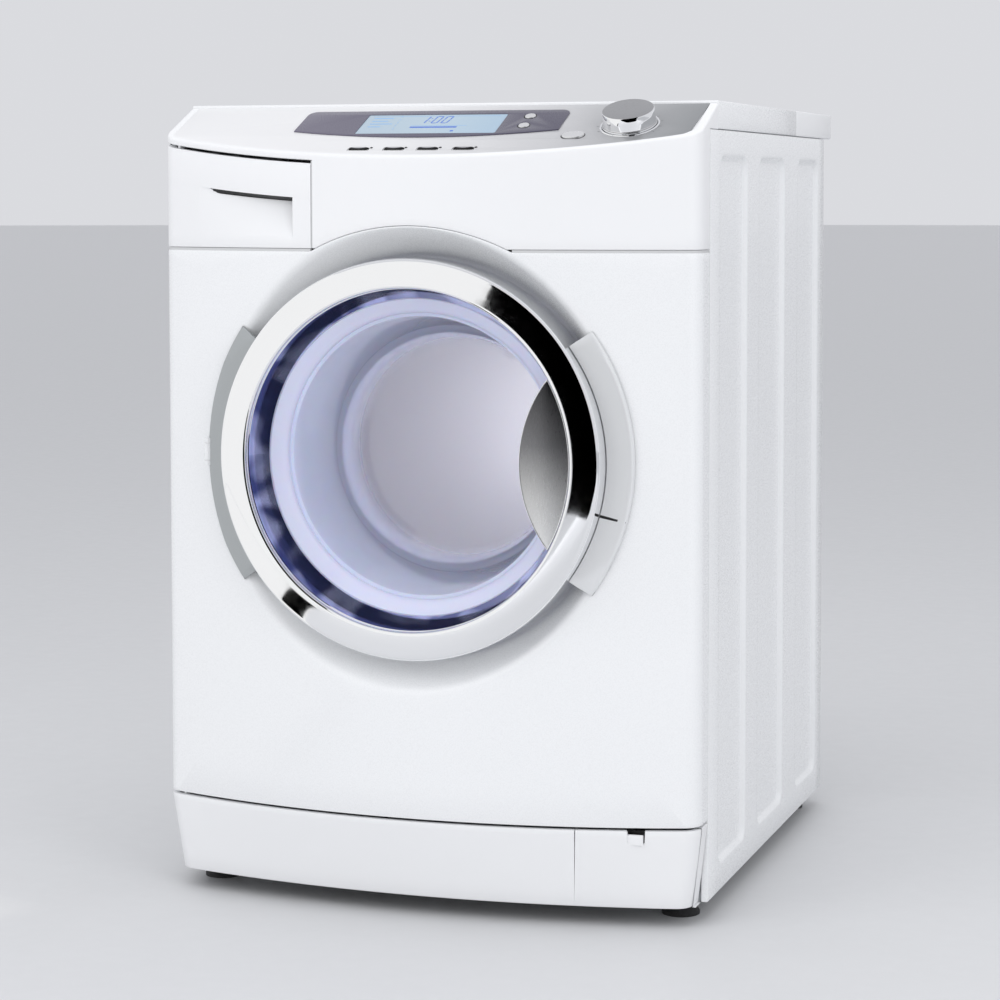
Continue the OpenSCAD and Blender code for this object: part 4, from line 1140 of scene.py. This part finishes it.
def make_flap():
    """Filter flap with a notch, its pull tab and the dark well behind it."""
    shape = Shape()
    x0, n0, n1 = FLAP_X + 1.2, 224.0, 245.0
    columns = kick_columns((x0, n0, n1), lambda q: q[0] >= x0 - 0.001 and q[1] <= -277.5)
    first, last = columns[0], columns[-1]
    columns = ([[(x, y + d, z) for x, y, z in first] for d in (7.0, 1.0)] + columns
               + [[(x - d, y, z) for x, y, z in last] for d in (1.0, 7.0)])
    rows = [shape.row(column) for column in columns]
    floor = 8
    for a, b in zip(rows, rows[1:]):
        xa, xb = shape.points[a[floor]][0], shape.points[b[floor]][0]
        open_here = n0 - 0.01 <= xa and xb <= n1 + 0.01
        for i in range(len(a) - 1):
            if not (open_here and i >= floor):
                shape.faces.append((a[i], a[i + 1], b[i + 1], b[i]))
    # Walls of the notch.
    inside = [c for c in columns if n0 - 0.01 <= c[floor][0] <= n1 + 0.01]
    for column in (inside[0], inside[-1]):
        edge = column[floor:floor + 4]
        shape.grid([edge, [(x, y + 3.0, z) for x, y, z in edge]])
    edge = [column[floor] for column in inside]
    shape.grid([edge, [(x, y + 3.0, z) for x, y, z in edge]])
    piece("flap_cover", shape, PLASTIC, "flap", ["filter_flap"],
          facing=(0, -1, 0))
    tab = Shape()
    section = [(-309.2, 88.0), (-306.2, 88.0), (-305.8, 98.6), (-307.4, 99.2), (-309.6, 98.4)]
    rows = [[(x, y, z) for y, z in section] for x in (226.0, 243.0)]
    tab.cap(tab.grid(rows, closed=True))
    piece("flap_tab", tab, PLASTIC, "flap", bevel=0.6)
    well = Shape()
    rows = [[(x, y, z) for y, z in ((-302.0, 87.0), (-300.5, 87.0), (-300.5, 102.4),
                                    (-302.0, 102.4))] for x in (222.0, 247.0)]
    well.cap(well.grid(rows, closed=True))
    piece("flap_well", well, BLACK, "flap", bevel=0.4)


make_flap()


# ---- detergent drawer ----

def make_drawer():
    """Drawer front with its leaning grip pocket and the slot above it."""
    x0, x1, z0 = -249.0, -131.0, 709.0
    depth = 13.0
    lead = (x0 - 2, x0, x0 + 0.6, -230.0, -205.0, -180.0, -155.0, x1 - 0.6, x1, x1 + 2, DRAWER_X1)
    path = [p for p in bow_path(-277.0, 60, keep=lead) if p[0] <= DRAWER_X1 + 0.001]
    columns = []
    for p in path:
        x = p[0]
        plane = slope_z(p[1])
        high = min(806.0, plane - 8.8 / COS)
        ptop = plane - POCKET_DROP / COS
        u = max(0.0, min(1.0, (x - x0) / (x1 - x0)))
        inner = x0 < x - 0.3 and x < x1 - 0.3
        slot = 4.6 * min(1.0, max(0.0, (x + 236.0) / 10.0)) if inner else 0.0
        column = [inset(p, 8.0, FASCIA_Z), inset(p, 1.0, FASCIA_Z), inset(p, 0.3, FASCIA_Z + 0.3),
                  inset(p, 0, FASCIA_Z + 1.0), inset(p, 0, z0)]
        for w in (0.02, 0.15, 0.35, 0.55, 0.75, 0.9):
            z = z0 + (ptop - slot - z0) * w
            column.append(inset(p, depth * u * w if inner else 0, z))
        floor = depth * u if inner else 0
        column.append(inset(p, floor, ptop - slot))
        back = floor + (11.0 if slot > 1 else 0)
        column += [inset(p, back, ptop - slot + 0.05), inset(p, back, ptop - 0.05),
                   inset(p, 0, ptop)]
        column += [inset(p, 0, ptop + 1.0), inset(p, 0, high - 1.2), inset(p, 0.35, high - 0.35),
                   inset(p, 1.2, high), inset(p, 8.0, high)]
        columns.append(column)
    last = columns[-1]
    columns += [[(x, y + d, z) for x, y, z in last] for d in (0.8, 8.0)]
    shape = Shape()
    shape.grid(columns)
    piece("drawer_cover", shape, PLASTIC, "drawer", ["drawer_front"],
          facing=(0, -1, 0), angle=28)
    # Black sheet in the finger slot: painted shadow.
    slot_shadow = Shape()
    rows = []
    for p in path:
        if not -234.0 <= p[0] <= x1 - 0.5:
            continue
        ptop = slope_z(p[1]) - POCKET_DROP / COS
        deep = depth * (p[0] - x0) / (x1 - x0)
        rows.append([inset(p, 0.9, ptop - 0.3), inset(p, deep + 0.6, ptop - 4.4),
                     inset(p, deep + 10.0, ptop - 4.4), inset(p, deep + 10.0, ptop - 0.3)])
    slot_shadow.cap(slot_shadow.grid(rows, closed=True))
    # Narrow black wedge down the pocket's deep side: painted shadow on its wall.
    edge = min(path, key=lambda q: abs(q[0] - x1 + 0.6))
    ptop = slope_z(edge[1]) - POCKET_DROP / COS
    rows = []
    for w in (1.0, 0.8, 0.6, 0.4, 0.2):
        z = z0 + (ptop - 4.2 - z0) * w
        wide = 2.6 * w * w
        rows.append([inset(edge, 1.0, z), inset(edge, depth * w + 0.4, z),
                     (edge[0] - wide, edge[1] + depth * w + 0.4, z),
                     (edge[0] - wide, edge[1] + depth * w - 0.5, z)])
    slot_shadow.cap(slot_shadow.grid(rows, closed=True))
    piece("drawer_slot_painted_shadow", slot_shadow, BLACK, "drawer")


make_drawer()


# ---- door ----

def make_ring():
    """Chrome ring, the dark cone inside it, and the lilac collar that holds the bowl."""
    outside = [(208.0, 300.0)] + arc(202, 344.05, 6, 0, 72, 8) + arc(180, 263, 90, 74.8, 90, 16)
    outside += arc(180, 350, 3, 96, 175, 6) + [(177.0, 345.2)]
    inside = [(176.4, 344.8), (178.5, 344.8)] + arc(180, 350, 1.6, 175, 96, 4)
    inside += arc(180, 263, 88.6, 90, 74.8, 6) + arc(202, 344.05, 4.6, 72, 0, 6) + [(206.6, 300.0)]
    piece("door_ring", lathe(outside + inside, 288), CHROME, "door", ["door_chrome_ring"])
    cone = [(176.5, 344.6), (176.0, 343.6), (173.2, 335.0), (170.0, 325.5), (166.6, 315.5),
            (166.2, 314.2), (167.6, 313.2), (168.4, 315.0), (177.4, 343.6)]
    piece("door_bezel", lathe(cone, 288), BEZEL_CHROME, "door")
    collar = [(167.6, 312.8), (166.4, 312.4), (165.0, 312.9), (160.0, 309.6), (155.0, 306.2),
              (152.0, 303.6), (150.4, 300.8), (150.0, 298.5), (150.2, 296.3), (205.4, 296.3),
              (205.4, 331.6), (182.0, 331.6)]
    piece("door_collar", lathe(collar, 288), COLLAR, "door", ["door_frame"])


make_ring()


def wing_top(r, c):
    """Height of a wing's face at radius r, on a spoke whose cosine is c."""
    cap = 335.0 - (r - 208.2) * 11.5 / 26.8
    return min(bow_h(r * c) + 8.4, cap)


def make_wing(side, name, material):
    """One of the two swept plates beside the ring, following the panel's bow."""
    mid = 0 if side > 0 else 180
    shape = Shape()
    columns = []
    for i in range(57):
        a = -WING_HALF_DEG + 2 * WING_HALF_DEG * i / 56
        edge = min(a + WING_HALF_DEG, WING_HALF_DEG - a)
        fall = 0.0 if edge > 1.2 else 1.3 * (1 - edge / 1.2) ** 2
        t = math.radians(mid + a)
        c, s = math.cos(t), math.sin(t)

        def at(r, drop, c=c, s=s, fall=fall):
            return (r * c, drop + fall - wing_top(r, c), DOOR_Z + r * s)

        def foot(r, c=c, s=s):
            return (r * c, -bow_h(r * c) - 1.3, DOOR_Z + r * s)

        column = [foot(WING_IN_R), at(WING_IN_R, 0.8), at(209.2, 0.1)]
        column += [at(r, 0) for r in (212, 217, 222, 227, 231)]
        column += [at(233.2, 0.15), at(234.4, 0.7), at(WING_OUT_R, 1.8), foot(WING_OUT_R)]
        columns.append(column)
    shape.grid(columns)
    for column in (columns[0], columns[-1]):
        shape.faces.append(tuple(shape.row(column)))
    piece(name, shape, material, "door", ["door_side_wings"] if side > 0 else (),
          facing=(0, -1, 0))


make_wing(1, "door_wing_right", SATIN)
# The left wing takes the darker copy of its satin: painted shade.
make_wing(-1, "door_wing_left", WING_PAINTED_SHADE)


def make_wing_reflection_line():
    """Black line across the right wing: a painted reflection."""
    shape = Shape()
    rows = []
    for r, wide in ((208.8, 1.4), (216, 1.4), (226, 1.1), (234.6, 0.8)):
        row = []
        for gap, rise in ((-wide, -0.6), (-wide, 0.08), (wide, 0.08), (wide, -0.6)):
            t = math.radians(-14.5) + gap / r
            c, s = math.cos(t), math.sin(t)
            h = wing_top(r, c) + rise - (0.8 if r > 234 else 0)
            row.append((r * c, -h, DOOR_Z + r * s))
        rows.append(row)
    shape.cap(shape.grid(rows, closed=True))
    piece("door_wing_painted_reflection", shape, BLACK, "door")


make_wing_reflection_line()


def lens(r_door, r_cut, centre):
    """Outline shared by a circle about the door's centre and one beside it."""
    x = (r_door ** 2 - r_cut ** 2 + centre ** 2) / (2 * centre)
    half = math.degrees(math.acos(x / r_door))
    inner = math.degrees(math.acos((x - centre) / r_cut))
    right = arc(0, 0, r_door, -half, half, 40)
    left = arc(centre, 0, r_cut, inner, 360 - inner, 40)
    return right + left[1:-1]


def make_grip():
    """Lens-shaped grip plate with a fine polished rim."""
    place = (Matrix.Translation((0, 0, DOOR_Z * MM)) @ Matrix.Rotation(math.radians(90), 4, "X"))
    plate("grip_face", lens(173.9, 139.0, 261.0), [], 341.0, 343.3, 0.5, GRIP, "door", place,
          ["door_grip_plate"])
    plate("grip_rim", lens(174.8, 140.0, 261.0), [lens(173.8, 138.9, 261.0)], 340.6, 343.5, 0.25,
          CHROME, "door", place)


make_grip()


def make_glass():
    """Bowl turned as inner and outer skins, each closed by a small disc on the axis."""
    bowl = [(2, 171.8), (20, 172.1), (60, 173.6)] + arc(104, 206, 30, -88, 10, 14)
    bowl += [(142.4, 252.0), (145.4, 291.0), (146.6, 295.0), (149, 296.0), (166, 296), (166, 293)]
    bowl += [(151.5, 293.0), (149.8, 290.0), (146.8, 250)] + arc(104, 204, 34, 10, -88, 14)
    bowl += [(60, 170.2), (20, 168.6), (2, 168.3)]
    shape = lathe(bowl, closed=False)
    count = len(shape.points)
    shape.faces += [tuple(range(LATHE_STEPS)), tuple(range(count - LATHE_STEPS, count))]
    piece("door_bowl_glass", shape, GLASS, "door", ["door_glass"], angle=50)


make_glass()


def make_seal():
    """Folded bellows between the panel's opening and the tub."""
    fold = [(157, 289.6), (160.5, 290.4), (167.0, 290.2), (167.6, 288), (167.6, 274.3),
            (171.8, 273.8), (172.4, 270.4), (175.6, 269.6), (176.0, 260.8), (172, 258.2),
            (168.2, 262), (167.4, 269.6), (163.5, 270.6), (160.2, 269.4), (158.6, 272.4),
            (159.6, 275.8), (157.4, 278.6), (158.2, 282.4), (156.6, 285.6)]
    seal = piece("seal_bellows", lathe(fold, 240), SEAL, None, ["door_seal"],
                 angle=60)
    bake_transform(seal)


make_seal()

# ---- finishes of the CAD nodes that stay in view ----

KEPT = {
    "back_panel": GALVANISED, "rear_service_cover": GALVANISED, "base_tray": GALVANISED,
    "control_board": BOARD, "dispenser_housing": PLASTIC, "door_hinge_base": ENAMEL,
    "door_lock": GREY, "drain_pump": GREY, "sump_hose": RUBBER, "inlet_valve": PLASTIC,
    "power_inlet": RUBBER, "damper_bodies": GREY, "suspension_springs": STEEL,
    "foot_front_left": RUBBER, "foot_front_right": RUBBER, "foot_rear_left": RUBBER,
    "foot_rear_right": RUBBER, "door_hinge_arm": ENAMEL, "door_latch_hook": STEEL,
    "detergent_tray": TRAY, "pump_filter": GREY, "tub_front": TUB, "tub_rear": TUB,
    "counterweight": CONCRETE, "drum_bearings": BEARING, "drying_unit": CAST,
    "drive_belt": RUBBER, "drum_motor": MOTOR, "damper_rods": STEEL, "drum_shell": DRUM,
    "drum_lifters": TUB, "drum_spider": CAST, "drum_pulley": CAST, "motor_pulley": STEEL,
}
for node_name, material in KEPT.items():
    slots = NODES[node_name].data.materials
    slots.clear()
    slots.append(material)

# ---- floor, lights and camera ----

def make_floor():
    """A wide level floor, drawn as rings so that it stays round at the horizon."""
    shape = Shape()
    rows = []
    for r in (0.5, 1500.0, 6000.0, 60000.0):
        rows.append([(r * math.cos(math.radians(a)), r * math.sin(math.radians(a)), 0.0)
                     for a in range(0, 360, 5)])
    shape.grid(rows, closed=True)
    mesh = shape.mesh("studio_floor")
    floor = bpy.data.objects.new("studio_floor", mesh)
    bpy.context.scene.collection.objects.link(floor)
    mesh.materials.append(surface("pale_floor", (0.70, 0.705, 0.715), (0.42, 0.55), grain=40,
                                  bump=0.0, tint=0.02))


make_floor()


def softbox(name, place, aim, size, watts):
    """A soft lamp aimed at a point; polished surfaces don't show it."""
    data = bpy.data.lights.new(name, "AREA")
    data.shape = "RECTANGLE"
    data.size, data.size_y = size
    data.energy = watts
    lamp = bpy.data.objects.new(name, data)
    bpy.context.scene.collection.objects.link(lamp)
    lamp.location = place
    lamp.rotation_euler = (Vector(aim) - Vector(place)).to_track_quat("-Z", "Y").to_euler()
    lamp.visible_glossy = False


softbox("key_light", (-1.9, -2.6, 2.4), (0, -0.1, 0.5), (2.2, 2.2), 20)
softbox("low_light", (0.0, -2.6, 0.25), (0, -0.3, 0.6), (2.4, 0.4), 7)
softbox("fill_light", (2.6, -2.0, 1.5), (0, 0, 0.4), (1.8, 2.2), 24)
softbox("top_light", (0.2, -0.2, 3.0), (0, 0, 0.4), (2.4, 2.4), 18)
softbox("drum_light", (0.0, -0.16, DOOR_Z * MM), (0, 0.3, DOOR_Z * MM), (0.16, 0.16), 0.45)


def reflection_card(name, corners, strength):
    """A card seen only in polished surfaces; it neither lights nor shades anything else."""
    mesh = bpy.data.meshes.new(name)
    mesh.from_pydata(corners, [], [tuple(range(len(corners)))])
    mat = bpy.data.materials.new(name)
    mat.use_nodes = True
    shader = mat.node_tree.nodes["Principled BSDF"]
    shader.inputs["Base Color"].default_value = (0, 0, 0, 1)
    shader.inputs["Emission Color"].default_value = (1, 1, 1, 1)
    shader.inputs["Emission Strength"].default_value = strength
    shader.inputs["Specular IOR Level"].default_value = 0.0
    mesh.materials.append(mat)
    card = bpy.data.objects.new(name, mesh)
    bpy.context.scene.collection.objects.link(card)
    for ray in ("camera", "diffuse", "transmission", "volume_scatter", "shadow"):
        setattr(card, "visible_" + ray, False)


CARD_Y = -1.9
DARK_EDGE = ((-0.28, 0.23), (-0.27, 0.31), (-0.31, 0.47), (-0.44, 0.59), (-0.28, 0.87),
             (-0.06, 1.35), (0.35, 2.55), (2.1, 2.6), (2.1, 0.01), (0.53, 0.01), (0.03, 0.16))
WALL_Y = CARD_Y - 0.1
FAR_X = -2.3
CARD_TOP = 3.0
CARD_GLOW = 0.92
reflection_card("dark_flag", [(x, CARD_Y, z) for x, z in DARK_EDGE], 0.0)
reflection_card("dark_strip", [(-0.70, -1.60, 0.01), (-0.82, -1.66, 0.01), (-0.60, -0.70, 0.01),
                               (-0.48, -0.68, 0.01)], 0.0)
reflection_card("white_floor", [(-0.80, -1.99, 0.005), (FAR_X, -1.99, 0.005),
                                (FAR_X, 0.3, 0.005), (-0.40, -0.40, 0.005)], CARD_GLOW)
reflection_card("white_wall", [(-0.47, WALL_Y, 0.01), (FAR_X, WALL_Y, 0.01),
                               (FAR_X, WALL_Y, CARD_TOP), (0.4, WALL_Y, CARD_TOP)], CARD_GLOW)
reflection_card("white_side", [(FAR_X, WALL_Y, 0.01), (FAR_X, 0.6, 0.01),
                               (FAR_X, 0.6, CARD_TOP), (FAR_X, WALL_Y, CARD_TOP)], CARD_GLOW)

world = bpy.data.worlds.new("studio")
bpy.context.scene.world = world
world.use_nodes = True
sky = world.node_tree.nodes["Background"]
sky.inputs["Color"].default_value = (0.95, 0.96, 1.0, 1)
sky.inputs["Strength"].default_value = 0.74

CAMERA_PLACE = (0.9614, -2.8755, 0.7544)
CAMERA_DOWN_DEG = 3.4
CAMERA_TURN = 0.3067  # radians about Z
scene = bpy.context.scene
scene.view_settings.view_transform = "Standard"
lens_data = bpy.data.cameras.new("photo_camera")
lens_data.sensor_width = 36
lens_data.lens = 95.07
lens_data.shift_x = -0.0547
lens_data.shift_y = -0.15
camera = bpy.data.objects.new("photo_camera", lens_data)
scene.collection.objects.link(camera)
camera.location = CAMERA_PLACE
camera.rotation_euler = (math.radians(90 - CAMERA_DOWN_DEG), 0, CAMERA_TURN)
scene.camera = camera

bpy.context.view_layer.update()
